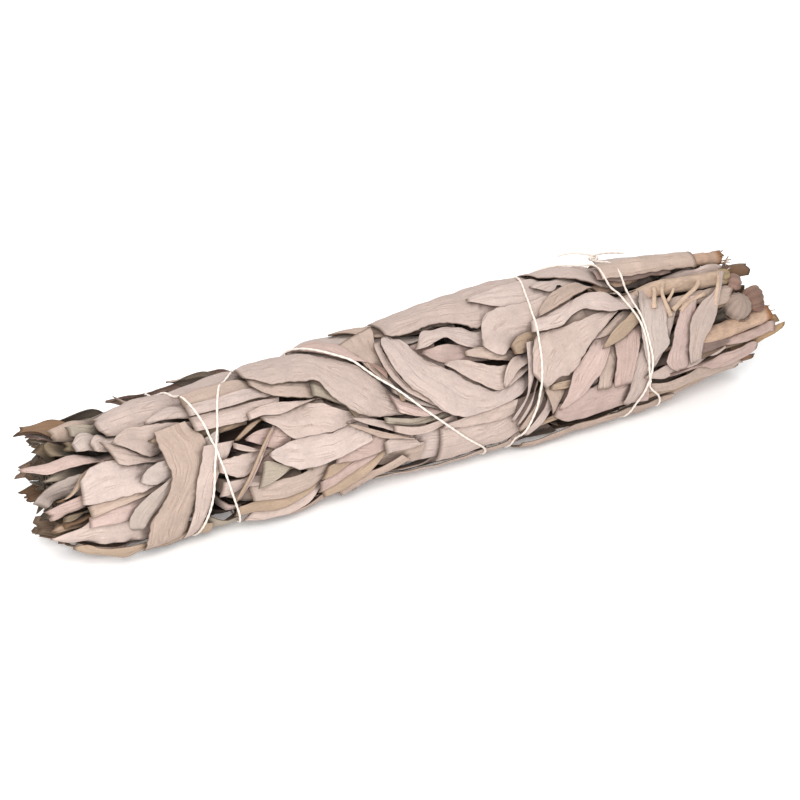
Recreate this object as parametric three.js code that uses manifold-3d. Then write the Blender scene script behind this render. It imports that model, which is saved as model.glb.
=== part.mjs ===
import * as THREE from 'three';
import Module from 'manifold-3d';

// A dried white sage bundle tied with cotton thread, lying on its side. Millimetres and degrees, +Z up.
// A place on the bundle is written (s, angle): s runs along it from the leaf tips to the cut stem ends, and
// the angle goes round it, 0 at the front (-Y), 90 at the top and -90 where it rests.

const axisHeight = 21;
const outerProfile = { at: [-8, 0, 12, 30, 60, 90, 115, 140, 165, 190, 205, 220, 230],
    radius: [11, 13.5, 17.5, 20, 20.5, 20, 21.5, 22.8, 22.5, 20.5, 18.5, 15.5, 13] };
const lowProfile = { at: [-8, 0, 10, 20, 35, 60, 85, 105, 130, 180, 200, 210, 220, 230],
    radius: [11, 15, 21, 24, 24, 21.5, 23.5, 22.3, 22.8, 23.8, 22.5, 20, 18, 15] };
const lowSpread = { full: 35, none: 85 };
const coreStart = 12;
const coreEnd = 200;
const leafBed = { back: 5, front: 7.6, frontAngle: 35 };
const coreTaper = { from: 186, depth: 4 };
const coreLift = 4.4;
const leafLift = 1.3;
const sprigCount = 9;
const firstSprigAngle = 8;
const sprigGap = 0.36;
const fitGap = 0.3;
const leafGap = 0.14;
const leafThickness = 0.62;
const threadRadius = 0.4;

const leafColour = new THREE.Color('#c9bcb0');
const stemColour = new THREE.Color('#c4a078');
const threadColour = new THREE.Color('#f3eade');

const wasm = await Module();
wasm.setup();

const radians = (degrees) => degrees * Math.PI / 180;
const clamp = (value, low, high) => Math.min(Math.max(value, low), high);
const smooth = (t) => t * t * (3 - 2 * t);

// Straight-line reading of a profile given as places and radii.
function profileRadius(profile, s) {

    const { at, radius } = profile;
    let k = 1;
    while (k < at.length - 1 && s > at[k]) k++;
    const t = clamp((s - at[k - 1]) / (at[k] - at[k - 1]), 0, 1);
    return radius[k - 1] + (radius[k] - radius[k - 1]) * t;

}

// Radius at which a point would reach the given height above the surface that the bundle lies on.
function radiusAtHeight(height, angle) {

    const down = -Math.sin(radians(angle));
    return down > 0.2 ? (axisHeight - height) / down : Infinity;

}

// Outer radius of the whole bundle: round above, and spread out where it rests.
function outerRadius(s, angle) {

    const fromBottom = Math.abs(((angle + 90 + 540) % 360) - 180);
    const low = smooth(clamp((lowSpread.none - fromBottom) / (lowSpread.none - lowSpread.full), 0, 1));
    const radius = profileRadius(outerProfile, s) * (1 - low) + profileRadius(lowProfile, s) * low;
    return Math.min(radius, radiusAtHeight(leafLift, angle));

}

// Depth of the leaf layer over the packed inner part: deeper on the side where more leaves are laid.
function leafBedDepth(angle) {

    const front = smooth(clamp((Math.cos(radians(angle - leafBed.frontAngle)) + 0.2) / 0.9, 0, 1));
    return leafBed.back + (leafBed.front - leafBed.back) * front;

}

// Radius of the packed inner part, which the leaves lie on.
function coreRadius(s, angle) {

    const taper = coreTaper.depth * smooth(clamp((s - coreTaper.from) / (coreEnd - coreTaper.from), 0, 1));
    return Math.min(outerRadius(s, angle) - leafBedDepth(angle) - taper, radiusAtHeight(coreLift, angle));

}

function placeAt(s, angle, radius) {

    const a = radians(angle);
    return new THREE.Vector3(s, -radius * Math.cos(a), axisHeight + radius * Math.sin(a));

}

// Small repeatable random numbers.
function randomSource(seed) {

    let state = seed >>> 0;
    return () => {

        state = (state + 0x6d2b79f5) >>> 0;
        let t = state;
        t = Math.imul(t ^ (t >>> 15), t | 1);
        t ^= t + Math.imul(t ^ (t >>> 7), t | 61);
        return ((t ^ (t >>> 14)) >>> 0) / 4294967296;

    };

}

// A closed solid from rings of points, joined one to the next, with a fan over each end ring.
function solidFromRings(rings) {

    const count = rings[0].length;
    const positions = rings.flat().flatMap((p) => [p.x, p.y, p.z].map((v) => Math.round(v * 1000) / 1000));
    const triangles = [];
    for (let i = 0; i < rings.length - 1; i++) {

        for (let j = 0; j < count; j++) {

            const a = i * count + j;
            const b = i * count + (j + 1) % count;
            triangles.push(a, a + count, b, b, a + count, b + count);

        }

    }
    const last = (rings.length - 1) * count;
    for (let j = 1; j < count - 1; j++) {

        triangles.push(0, j, j + 1);
        triangles.push(last, last + j + 1, last + j);

    }
    return makeManifold(positions, triangles);

}

function makeManifold(positions, triangles) {

    const mesh = new wasm.Mesh({ numProp: 3, vertProperties: Float32Array.from(positions),
        triVerts: Uint32Array.from(triangles) });
    const solid = new wasm.Manifold(mesh);
    if (solid.volume() >= 0) return solid;
    const turned = triangles.slice();
    for (let k = 0; k < turned.length; k += 3) [turned[k], turned[k + 1]] = [turned[k + 1], turned[k]];
    return new wasm.Manifold(new wasm.Mesh({ numProp: 3, vertProperties: Float32Array.from(positions),
        triVerts: Uint32Array.from(turned) }));

}

// Clears the needle-thin triangles that cuts leave: edges shorter than a limit are closed up, and a triangle
// lower than a limit is given to its neighbour by turning their shared edge.
const shortestEdge = 0.03;
const lowestTriangle = 0.008;

function cleanTriangles(solid) {

    const { vertProperties, triVerts, numProp } = solid.getMesh();
    const points = [];
    for (let i = 0; i < vertProperties.length; i += numProp) {

        points.push(new THREE.Vector3(vertProperties[i], vertProperties[i + 1], vertProperties[i + 2]));

    }
    const triangles = [];
    for (let i = 0; i < triVerts.length; i += 3) triangles.push([...triVerts.slice(i, i + 3)]);
    const around = points.map(() => new Set());
    triangles.forEach((corners, t) => corners.forEach((v) => around[v].add(t)));
    const alive = triangles.map(() => true);

    const normalOf = ([a, b, c]) => points[b].clone().sub(points[a]).cross(points[c].clone().sub(points[a]));
    const longest = (corners) => Math.max(...corners.map((v, k) => {

        return points[v].distanceTo(points[corners[(k + 1) % 3]]);

    }));
    const height = (corners) => normalOf(corners).length() / longest(corners);
    const neighbours = (v) => new Set([...around[v]].flatMap((t) => triangles[t])
        .filter((other) => other !== v));

    const collapse = (keep, drop) => {

        const shared = [...around[drop]].filter((t) => around[keep].has(t));
        const common = [...neighbours(keep)].filter((v) => neighbours(drop).has(v));
        if (shared.length !== 2 || common.length !== 2) return false;
        const moved = [...around[drop]].filter((t) => !around[keep].has(t));
        for (const t of moved) {

            const after = triangles[t].map((v) => (v === drop ? keep : v));
            const [was, now] = [normalOf(triangles[t]), normalOf(after)];
            const turned = was.dot(now) < 0.5 * was.length() * now.length();
            if (height(triangles[t]) > lowestTriangle && turned) return false;

        }
        for (const t of shared) {

            alive[t] = false;
            triangles[t].forEach((v) => around[v].delete(t));

        }
        for (const t of moved) {

            triangles[t] = triangles[t].map((v) => (v === drop ? keep : v));
            around[keep].add(t);

        }
        around[drop].clear();
        return true;

    };

    const turnEdge = (t) => {

        const corners = triangles[t];
        const lengths = corners.map((v, k) => points[v].distanceTo(points[corners[(k + 1) % 3]]));
        const k = lengths.indexOf(Math.max(...lengths));
        const [a, b, c] = [corners[k], corners[(k + 1) % 3], corners[(k + 2) % 3]];
        const other = [...around[a]].find((n) => n !== t && around[b].has(n));
        if (other === undefined) return false;
        const d = triangles[other].find((v) => v !== a && v !== b);
        if (neighbours(c).has(d)) return false;
        const face = normalOf(triangles[other]);
        const made = [[a, d, c], [d, b, c]];
        const least = 0.5 * face.length();
        if (made.some((corner) => normalOf(corner).dot(face) < least * normalOf(corner).length())) return false;
        for (const n of [t, other]) triangles[n].forEach((v) => around[v].delete(n));
        [triangles[t], triangles[other]] = made;
        for (const n of [t, other]) triangles[n].forEach((v) => around[v].add(n));
        return true;

    };

    for (let round = 0; round < 8; round++) {

        let changes = 0;
        for (let t = 0; t < triangles.length; t++) {

            if (!alive[t]) continue;
            const corners = triangles[t];
            const edge = (i) => points[corners[i]].distanceTo(points[corners[(i + 1) % 3]]);
            const k = [0, 1, 2].find((i) => edge(i) < shortestEdge);
            if (k !== undefined) {

                const [u, v] = [corners[k], corners[(k + 1) % 3]];
                if (collapse(u, v) || collapse(v, u)) changes++;

            } else if (height(corners) < lowestTriangle && turnEdge(t)) changes++;

        }
        if (!changes) break;

    }
    const left = triangles.filter((corners, t) => alive[t]);
    const mesh = new wasm.Mesh({ numProp: 3, vertProperties: Float32Array.from(points.flatMap((p) => p.toArray())),
        triVerts: Uint32Array.from(left.flat()) });
    return new wasm.Manifold(mesh);

}

function meshFromManifold(name, solid, colour, roughness) {

    const { vertProperties, triVerts } = solid.getMesh();
    const geometry = new THREE.BufferGeometry();
    geometry.setAttribute('position', new THREE.BufferAttribute(Float32Array.from(vertProperties), 3));
    geometry.setIndex(new THREE.BufferAttribute(Uint32Array.from(triVerts), 1));
    geometry.computeVertexNormals();
    const material = new THREE.MeshStandardMaterial({ color: colour, roughness, metalness: 0 });
    const mesh = new THREE.Mesh(geometry, material);
    mesh.name = name;
    return mesh;

}

// Ceiling map: how far in the leaves laid so far reach at each place. Leaves are laid from the outside inwards.
const cell = { s: 1, angle: 2.5, start: -16, length: 260 };
cell.around = 360 / cell.angle;
const ceiling = new Float32Array(cell.length * cell.around).fill(Infinity);

function cellIndex(s, angle) {

    const i = clamp(Math.round((s - cell.start) / cell.s), 0, cell.length - 1);
    const j = ((Math.round(angle / cell.angle) % cell.around) + cell.around) % cell.around;
    return i * cell.around + j;

}

// Lowest ceiling in a small window round a place.
function ceilingNear(s, angle) {

    let lowest = Infinity;
    for (const ds of [-0.6, 0, 0.6]) {

        for (const da of [-1.8, 0, 1.8]) lowest = Math.min(lowest, ceiling[cellIndex(s + ds, angle + da)]);

    }
    return lowest;

}

// Calls mark with each map cell that a four-cornered facet covers and its radius there.
function forFacetCells(a, b, c, d, mark) {

    const longest = Math.max(a.distanceTo(b), c.distanceTo(d), a.distanceTo(c), b.distanceTo(d));
    const steps = Math.ceil(longest / 0.7);
    for (let i = 0; i <= steps; i++) {

        for (let j = 0; j <= steps; j++) {

            const p = a.clone().lerp(b, i / steps).lerp(c.clone().lerp(d, i / steps), j / steps);
            const z = p.z - axisHeight;
            mark(cellIndex(p.x, Math.atan2(z, -p.y) * 180 / Math.PI), Math.hypot(p.y, z));

        }

    }

}

function lowerCeiling(a, b, c, d) {

    forFacetCells(a, b, c, d, (k, radius) => (ceiling[k] = Math.min(ceiling[k], radius)));

}

// Floor map: how far out the pieces built so far reach, and which sprig is outermost there.
const floor = new Float32Array(cell.length * cell.around);
const floorOwner = new Int16Array(cell.length * cell.around).fill(-1);

function raiseFloor(a, b, c, d, owner) {

    forFacetCells(a, b, c, d, (k, radius) => {

        if (radius > floor[k]) [floor[k], floorOwner[k]] = [radius, owner];

    });

}

// Woody stems. Each runs inside its sprig and comes out at the cut end: where it ends and how far out.
const stems = [
    { radius: 2.4, start: 60, end: 223, inner: 8.6, under: 0.3, angle: 7 },
    { radius: 1.9, start: 60, end: 213, inner: 8.6, under: 0.1, angle: 60 },
    { radius: 2.0, start: 60, end: 215, inner: 8.6, under: 0, angle: 88 },
    { radius: 1.7, start: 60, end: 209, inner: 8.6, under: 2.5, angle: 128 },
    { radius: 2.1, start: 60, end: 217, inner: 8.6, under: 1.2, angle: 170 },
    { radius: 1.6, start: 60, end: 206, inner: 8.6, under: 3, angle: 207 },
    { radius: 2.2, start: 60, end: 219, inner: 8.6, under: 3.2, angle: 249 },
    { radius: 1.8, start: 60, end: 211, inner: 8.6, under: 4.5, angle: 288 },
    { radius: 2.0, start: 60, end: 220, inner: 8.6, under: 4, angle: 329 },
];
const stemSides = 6;
const stemTurnout = { from: 140, to: 190 };

function sprigAngle(k) {

    return firstSprigAngle + k * 360 / sprigCount;

}

function stemPlace(k, s) {

    const stem = stems[k];
    const t = smooth(clamp((s - stemTurnout.from) / (stemTurnout.to - stemTurnout.from), 0, 1));
    const outer = outerRadius(s, stem.angle) - stem.radius - stem.under;
    const radius = stem.inner + (outer - stem.inner) * t;
    return placeAt(s, sprigAngle(k) + (stem.angle - sprigAngle(k)) * t, radius);

}

// How far out the stems reach at a place, with a little room over them.
function stemReach(s, angle) {

    let reach = 0;
    stems.forEach((stem, k) => {

        if (s < stemTurnout.from || s > stem.end) return;
        const centre = stemPlace(k, s);
        const away = Math.hypot(centre.y, centre.z - axisHeight);
        const turn = Math.abs(radians(angle) - Math.atan2(centre.z - axisHeight, -centre.y));
        const off = Math.min(turn % (2 * Math.PI), 2 * Math.PI - turn % (2 * Math.PI), Math.PI / 2);
        const across = away * Math.sin(off);
        const radius = stem.radius + fitGap;
        if (across < radius) reach = Math.max(reach, away * Math.cos(turn) + Math.sqrt(radius ** 2 - across ** 2));

    });
    return reach;

}

function stemRings(k, grow) {

    const stem = stems[k];
    const places = [stem.start - grow, 140, 165, 190, stem.end + grow * 30];
    return places.map((s, i) => {

        const centre = stemPlace(k, s);
        const slant = !grow && i === places.length - 1 ? 0.5 : 0;
        const radius = (stem.radius + grow) * (0.72 + 0.28 * i / (places.length - 1));
        return Array.from({ length: stemSides }, (_, j) => {

            const a = j * 2 * Math.PI / stemSides + k;
            const [side, up] = [radius * Math.cos(a), radius * Math.sin(a)];
            return new THREE.Vector3(s + slant * side, centre.y + side, centre.z + up);

        });

    });

}

// Packed inner part of one sprig: a wedge of the bundle, with a channel for its stem.
const coreStations = [coreStart, 22, 40, 62, 88, 115, 140, 165, 182, 192, coreEnd];
const coreArcs = 5;
const coreInnerRadius = 0.8;

function sprigCore(k) {

    const half = 180 / sprigCount;
    const startShift = 2.5 * Math.sin(k * 2.4);
    const endShift = 4 * Math.sin(k * 3.9 + 1);
    const rings = coreStations.map((station, i) => {

        const s = station + (i === 0 ? startShift : 0) + (i === coreStations.length - 1 ? endShift : 0);
        const ring = [];
        const middle = radians(sprigAngle(k));
        const inner = coreInnerRadius + sprigGap / 2 / Math.sin(radians(half));
        ring.push(new THREE.Vector3(s, -inner * Math.cos(middle), axisHeight + inner * Math.sin(middle)));
        for (let j = 0; j < coreArcs; j++) {

            const angle = sprigAngle(k) + half * (2 * j / (coreArcs - 1) - 1);
            const rib = j % 2 ? 0.35 * Math.sin(s * 0.5 + k) : 0;
            const point = placeAt(s, angle, coreRadius(s, angle) + rib);
            if (j === 0 || j === coreArcs - 1) {

                const side = radians(angle);
                const inward = (j === 0 ? 1 : -1) * sprigGap / 2;
                point.y += inward * Math.sin(side);
                point.z += inward * Math.cos(side);

            }
            ring.push(point);

        }
        return ring;

    });
    for (let i = 1; i < rings.length; i++) {

        for (let j = 1; j < coreArcs; j++) {

            raiseFloor(rings[i - 1][j], rings[i][j], rings[i - 1][j + 1], rings[i][j + 1], k);

        }

    }
    return solidFromRings(rings);

}
// Leaf forms: how far round the blade curls across its width, in degrees, and which way its edges go.
const forms = {
    flat: { curl: 8, edges: -1, across: 3 },
    crowned: { curl: 42, edges: -1, across: 3 },
    cupped: { curl: 80, edges: 1, across: 4 },
    rolled: { curl: 150, edges: -1, across: 4 },
    open: { curl: 190, edges: 1, across: 5 },
    stalk: { curl: 20, edges: -1, across: 2 },
    foot: { curl: 1, edges: -1, across: 3 },
};

// Leaves of the side that shows best, from the leaf tips to the cut ends, in the order they lie on each other.
// from is where the leaf is rooted, to is its tip and via a place that it bends through; wide in millimetres.
const placedLeaves = [
    { from: [17, 100], to: [-2, 112], wide: 6, form: 'open', rise: 4 },
    { from: [19, 84], to: [3, 72], wide: 11, form: 'cupped', rise: 1.5 },
    { from: [18, 50], to: [-7, 60], wide: 8, form: 'open', rise: 4.5 },
    { from: [18, 62], to: [5, 50], wide: 6, form: 'flat' },
    { from: [18, 22], to: [-4, 15], wide: 10, form: 'cupped', rise: 0.5 },
    { from: [17, 8], to: [0, -6], wide: 8, form: 'flat' },
    { from: [19, -10], to: [4, -13], wide: 9, form: 'open' },
    { from: [34, -27], to: [1, -33], wide: 11, form: 'crowned' },
    { from: [38, -48], to: [7, -46], wide: 10, form: 'crowned' },
    { from: [28, 94], to: [10, 99], wide: 10, form: 'rolled' },
    { from: [34, 24], to: [9, 19], wide: 14, form: 'rolled' },
    { from: [36, 4], to: [12, -7], wide: 8, form: 'flat' },
    { from: [34, 56], to: [13, 50], wide: 12, form: 'crowned' },
    { from: [22, 76], to: [31, 38], wide: 9, form: 'flat' },
    { from: [60, 90], to: [19, 84], wide: 15, form: 'crowned' },
    { from: [64, 62], to: [32, 60], wide: 8, form: 'rolled' },
    { from: [78, 46], to: [37, 50], wide: 8, form: 'crowned' },
    { from: [50, 45], to: [29, 46], wide: 4.5, form: 'rolled' },
    { from: [44, 46], to: [31, -50], via: [36, 0], wide: 11, form: 'flat' },
    { from: [48, 14], to: [40, -44], wide: 7, form: 'flat' },
    { from: [62, 18], to: [45, 11], wide: 8, form: 'flat' },
    { from: [58, -4], to: [44, -14], wide: 8, form: 'flat' },
    { from: [57, 24], to: [46, 27], wide: 5, form: 'crowned' },
    { from: [61, 44], to: [52, 31], wide: 4, form: 'crowned' },
    { from: [65, 28], to: [54, 25], wide: 6, form: 'crowned' },
    { from: [60, -31], to: [46, -31], wide: 4.5, form: 'rolled' },
    { from: [86, -19], to: [53, -23], wide: 7, form: 'crowned' },
    { from: [92, -33], to: [60, -34], wide: 6, form: 'crowned' },
    { from: [98, -42], to: [66, -43], wide: 7, form: 'crowned' },
    { from: [64, -26], to: [89, -13], wide: 6, form: 'rolled' },
    { from: [70, -38], to: [93, -27], wide: 6, form: 'rolled' },
    { from: [75, 2], to: [56, -10], wide: 9, form: 'flat' },
    { from: [97, 8], to: [63, 13], wide: 11, form: 'flat' },
    { from: [99, 22], to: [59, 37], wide: 12, form: 'flat' },
    { from: [63, 34], to: [51, -22], wide: 2, form: 'stalk' },
    { from: [106, -14], to: [94, -7], wide: 6, form: 'flat' },
    { from: [96, 92], to: [60, 92], wide: 14, form: 'crowned' },
    { from: [94, 62], to: [57, 63], wide: 12, form: 'crowned' },
    { from: [86, 38], to: [76, 60], wide: 6, form: 'cupped' },
    { from: [112, 10], to: [79, 96], via: [92, 44], wide: 15, form: 'flat' },
    { from: [108, 88], to: [79, 115], wide: 8, form: 'flat', rise: 1 },
    { from: [114, 11], to: [92, 84], via: [99, 46], wide: 5, form: 'flat' },
    { from: [116, 9], to: [97, 88], via: [102, 46], wide: 5, form: 'flat' },
    { from: [140, -4], to: [99, 3], wide: 9, form: 'flat' },
    { from: [142, -20], to: [98, -14], wide: 10, form: 'flat' },
    { from: [144, -34], to: [98, -32], wide: 9, form: 'flat' },
    { from: [134, -46], to: [94, -46], wide: 9, form: 'flat' },
    { from: [136, 8], to: [106, 104], via: [115, 40], wide: 14, form: 'flat' },
    { from: [126, 50], to: [111, 50], wide: 9, form: 'rolled' },
    { from: [122, 76], to: [109, 67], wide: 7, form: 'flat' },
    { from: [131, 60], to: [121, 57], wide: 8, form: 'flat' },
    { from: [120, 44], to: [132, 15], wide: 8, form: 'flat' },
    { from: [136, 98], to: [106, 103], wide: 12, form: 'crowned' },
    { from: [144, 32], to: [132, 24], wide: 9, form: 'flat' },
    { from: [145, 14], to: [133, 8], wide: 8, form: 'flat' },
    { from: [148, 44], to: [135, 38], wide: 9, form: 'rolled' },
    { from: [150, 70], to: [129, 46], wide: 14, form: 'flat' },
    { from: [156, 88], to: [131, 94], wide: 16, form: 'flat' },
    { from: [144, 26], to: [133, -26], wide: 5, form: 'flat' },
    { from: [147, 14], to: [135, -36], wide: 5, form: 'flat' },
    { from: [149, 6], to: [138, -41], wide: 5, form: 'flat' },
    { from: [154, 8], to: [146, -12], wide: 6, form: 'flat' },
    { from: [155, 62], to: [147, 8], wide: 11, form: 'flat' },
    { from: [174, 80], to: [146, 60], wide: 10, form: 'flat' },
    { from: [176, 94], to: [150, 92], wide: 12, form: 'crowned' },
    { from: [174, 56], to: [147, 52], wide: 11, form: 'crowned' },
    { from: [178, -10], to: [147, -24], wide: 11, form: 'flat' },
    { from: [180, -28], to: [150, -38], wide: 9, form: 'crowned' },
    { from: [150, -32], to: [139, -38], wide: 5, form: 'rolled' },
    { from: [180, -44], to: [146, -44], wide: 8, form: 'crowned' },
    { from: [178, 52], to: [153, 30], wide: 8, form: 'flat' },
    { from: [179, 49], to: [151, 3], wide: 10, form: 'flat' },
    { from: [179, 46], to: [160, 8], wide: 8, form: 'flat' },
    { from: [180, 42], to: [163, -9], wide: 9, form: 'flat' },
    { from: [181, 36], to: [169, -14], wide: 9, form: 'flat' },
    { from: [190, 40], to: [176, 32], wide: 12, form: 'flat' },
    { from: [190, 34], to: [180, -8], wide: 8, form: 'flat' },
    { from: [197, 12], to: [179, 8], wide: 12, form: 'flat' },
    { from: [200, -2], to: [184, -9], wide: 11, form: 'flat' },
    { from: [206, -12], to: [190, -16], wide: 8, form: 'flat' },
    { from: [204, 52], to: [190, 3], via: [201, 30], wide: 9, form: 'flat' },
    { from: [186, 96], to: [170, 106], wide: 10, form: 'crowned' },
];

// Short pieces rooted at the cut end, which point out along the stems.
const endLeaves = [
    { from: [188, -22], to: [217, -20], wide: 9, form: 'flat' },
    { from: [188, -34], to: [228, -33], wide: 8, form: 'crowned' },
    { from: [190, -8], to: [226, -13], wide: 7, form: 'flat' },
    { from: [186, -43], to: [213, -42], wide: 8, form: 'crowned' },
    { from: [184, 104], to: [206, 104], wide: 9, form: 'crowned' },
    { from: [190, 30], to: [221, 33], wide: 5, form: 'rolled' },
    { from: [190, 72], to: [214, 70], wide: 6, form: 'flat' },
];

const leafStep = 12;
const leafTurn = 20;
const narrowLeaf = 8.5;
const rootLength = 3.5;
const rootHalfWidth = 1.3;
const rootInset = 4;
const rootSlope = 2.5;
const hiddenRoot = 3.5;
const hiddenEdge = 1;
const hiddenTip = 2;
const shortestLeaf = 6;
const smallestLeaf = 60;
const coreClearance = -1.9;

// Leaves flattened on the surface that the bundle lies on, between the turns of thread.
const footLeaves = [
    { from: [36, -98], to: [10, -90], wide: 13, form: 'foot' },
    { from: [96, -72], to: [68, -84], wide: 13, form: 'foot' },
    { from: [124, -105], to: [98, -93], wide: 14, form: 'foot' },
    { from: [168, -74], to: [143, -86], wide: 13, form: 'foot' },
    { from: [190, -104], to: [214, -92], wide: 11, form: 'foot' },
];

// Half width of a blade along its length: narrow at the root, widest past the middle, blunt at the tip.
function bladeHalfWidth(leaf, t) {

    if (leaf.form === 'stalk') return leaf.wide / 2 * (0.8 + 0.4 * t);
    const shoulder = 0.24 + 0.76 * Math.sin(Math.PI * clamp(0.08 + t * 0.84, 0, 1)) ** 0.8;
    const tip = t > 0.85 ? 1 - 0.45 * (t - 0.85) / 0.15 : 1;
    return leaf.wide / 2 * shoulder * tip;

}

// Middle line of a leaf on the unrolled bundle: millimetres along it and degrees round it.
function middleLine(leaf, t) {

    const via = leaf.via ?? [(leaf.from[0] + leaf.to[0]) / 2, (leaf.from[1] + leaf.to[1]) / 2];
    return [0, 1].map((k) => {

        const control = 2 * via[k] - (leaf.from[k] + leaf.to[k]) / 2;
        return (1 - t) ** 2 * leaf.from[k] + 2 * t * (1 - t) * control + t * t * leaf.to[k];

    });

}

// The stretch of a leaf that shows from outside, with a little more at each end to go under its neighbours.
function seenSpan(leaf, length, perDegree) {

    const steps = 40;
    let first = 1;
    let last = 0;
    for (let i = 0; i <= steps; i++) {

        const t = i / steps;
        const [s, angle] = middleLine(leaf, t);
        const reach = 0.6 * bladeHalfWidth(leaf, t) / perDegree;
        if ([-reach, 0, reach].some((side) => ceilingNear(s, angle + side) === Infinity)) {

            first = Math.min(first, t);
            last = Math.max(last, t);

        }

    }
    const shows = Math.max(rootLength / length, first - hiddenEdge / length);
    return [Math.max(0, first - hiddenRoot / length), shows, Math.min(1, last + hiddenTip / length)];

}

// Where along its middle line a leaf is first over the packed inner part, which its root needs.
function rootedFrom(leaf) {

    const middle = (coreStart + coreEnd) / 2;
    const half = (coreEnd - coreStart) / 2 - rootInset;
    let t = 0;
    while (t < 1 && Math.abs(middleLine(leaf, t)[0] - middle) > half) t += 0.02;
    return t;

}

// Lays one leaf under those laid before: each corner of its blade stays inside the bundle's outer radius and
// under the ceiling map, and its root sinks into the inner part of the sprig under it.
function layLeaf(leaf) {

    const form = forms[leaf.form];
    const meanRadius = outerRadius((leaf.from[0] + leaf.to[0]) / 2, (leaf.from[1] + leaf.to[1]) / 2);
    const perDegree = meanRadius * Math.PI / 180;
    const wholeLength = Math.hypot(leaf.to[0] - leaf.from[0], (leaf.to[1] - leaf.from[1]) * perDegree);
    const [seenFrom, showsFrom, end] = seenSpan(leaf, wholeLength, perDegree);
    const begin = Math.max(seenFrom, rootedFrom(leaf));
    const shows = Math.max(showsFrom, begin + rootSlope / wholeLength);
    const length = wholeLength * (end - shows);
    if (length < shortestLeaf || length * leaf.wide < smallestLeaf) return null;
    const turn = Math.abs(leaf.to[1] - leaf.from[1]) * (end - shows);
    const steps = clamp(Math.round(Math.max(length / leafStep, turn / leafTurn)), 1, 5);
    const places = [begin, ...Array.from({ length: steps + 1 }, (_, i) => shows + (end - shows) * i / steps)];
    const across = leaf.form === 'flat' && leaf.wide < narrowLeaf ? 2 : form.across;
    const curl = radians(form.curl);
    const points = places.map((t, i) => {

        const [s, angle] = middleLine(leaf, t);
        const [sAhead, angleAhead] = middleLine(leaf, t + 0.02);
        let ds = sAhead - s;
        let da = (angleAhead - angle) * perDegree;
        const size = Math.hypot(ds, da);
        [ds, da] = [ds / size, da / size];
        const half = i === 0 ? rootHalfWidth : bladeHalfWidth(leaf, t);
        const bend = 2 * half / curl;
        return Array.from({ length: across }, (_, j) => {

            const u = 2 * j / (across - 1) - 1;
            const side = bend * Math.sin(curl * u / 2);
            const sag = bend * (1 - Math.cos(curl * u / 2));
            const crown = bend * (1 - Math.cos(curl / 2));
            const drop = form.edges > 0 ? crown - sag : sag;
            return { s: s - side * da, angle: angle + side * ds / perDegree, drop };

        });

    });
    const rows = points.length - 1;
    const facetLimit = [];
    let open = 0;
    let seen = 0;
    for (let i = 0; i < rows; i++) {

        facetLimit.push([]);
        for (let j = 0; j < across - 1; j++) {

            const corners = [points[i][j], points[i + 1][j], points[i][j + 1], points[i + 1][j + 1]];
            const n = Math.ceil(Math.max(leafStep, leaf.wide / (across - 1)) / 1.1);
            let lowest = Infinity;
            for (let a = 0; a <= n; a++) {

                for (let b = 0; b <= n; b++) {

                    const mix = (key) => (corners[0][key] * (1 - a / n) + corners[1][key] * a / n) * (1 - b / n)
                        + (corners[2][key] * (1 - a / n) + corners[3][key] * a / n) * b / n;
                    const here = ceilingNear(mix('s'), mix('angle'));
                    lowest = Math.min(lowest, here);
                    seen++;
                    if (here === Infinity) open++;

                }

            }
            facetLimit[i].push(lowest - leafGap);

        }

    }
    let clamped = 0;
    const limits = points.map((row, i) => row.map((p, j) => {

        let limit = outerRadius(p.s, p.angle) - (leaf.deep ?? 0);
        for (const a of [i - 1, i]) {

            for (const b of [j - 1, j]) {

                if (a >= 0 && a < rows && b >= 0 && b < across - 1) limit = Math.min(limit, facetLimit[a][b]);

            }

        }
        const onCore = Math.max(coreRadius(p.s, p.angle) + leafThickness + coreClearance,
            stemReach(p.s, p.angle) + leafThickness);
        if (p.s < coreStart) return limit;
        if (limit < onCore) clamped++;
        return Math.max(limit, onCore);

    }));
    const outer = points.map((row, i) => {

        if (i === 0) return row.map(() => limits[0][0]);
        const rise = (leaf.rise ?? 0) * (i / rows) ** 2;
        const stiff = form.curl > 150;
        const base = Math.min(...limits[i]);
        return row.map((p, j) => (stiff ? base : limits[i][j]) - p.drop + rise);

    });
    const lieFlat = leaf.form === 'foot';
    const face = (height) => points.map((row, i) => row.map((p, j) => {

        const lies = lieFlat && i > 1;
        return placeAt(p.s, p.angle, lies ? radiusAtHeight(height, p.angle) : outer[i][j] - height);

    }));
    const outerPoints = face(0);
    const innerPoints = face(leafThickness);
    thickenRolls(form, outerPoints, innerPoints);
    const shares = { seen: open / seen, clamped: clamped / points.length / across };
    return { leaf, points, outerPoints, innerPoints, across, ...shares };

}

// On a strongly curled blade the outer face stands off along the curl's own normal, which keeps the wall's
// thickness.
function thickenRolls(form, outerPoints, innerPoints) {

    if (form.curl < 100) return;
    innerPoints.forEach((row, i) => {

        if (i === 0) return;
        const source = outerPoints[i];
        const middle = (source.length - 1) / 2;
        const centre = Math.floor(middle);
        const along = source[centre].clone().sub(outerPoints[i - 1][centre]).normalize();
        const inward = row[centre].clone().sub(source[centre]);
        const across = source[centre + 1].clone().sub(source[Math.max(centre - 1, 0)]);
        const flip = across.cross(along).dot(inward) < 0 ? -1 : 1;
        row.forEach((point, j) => {

            const before = source[Math.max(j - 1, 0)];
            const after = source[Math.min(j + 1, row.length - 1)];
            const normal = after.clone().sub(before).cross(along).normalize().multiplyScalar(flip);
            point.copy(source[j]).addScaledVector(normal, leafThickness);

        });

    });

}

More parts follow.
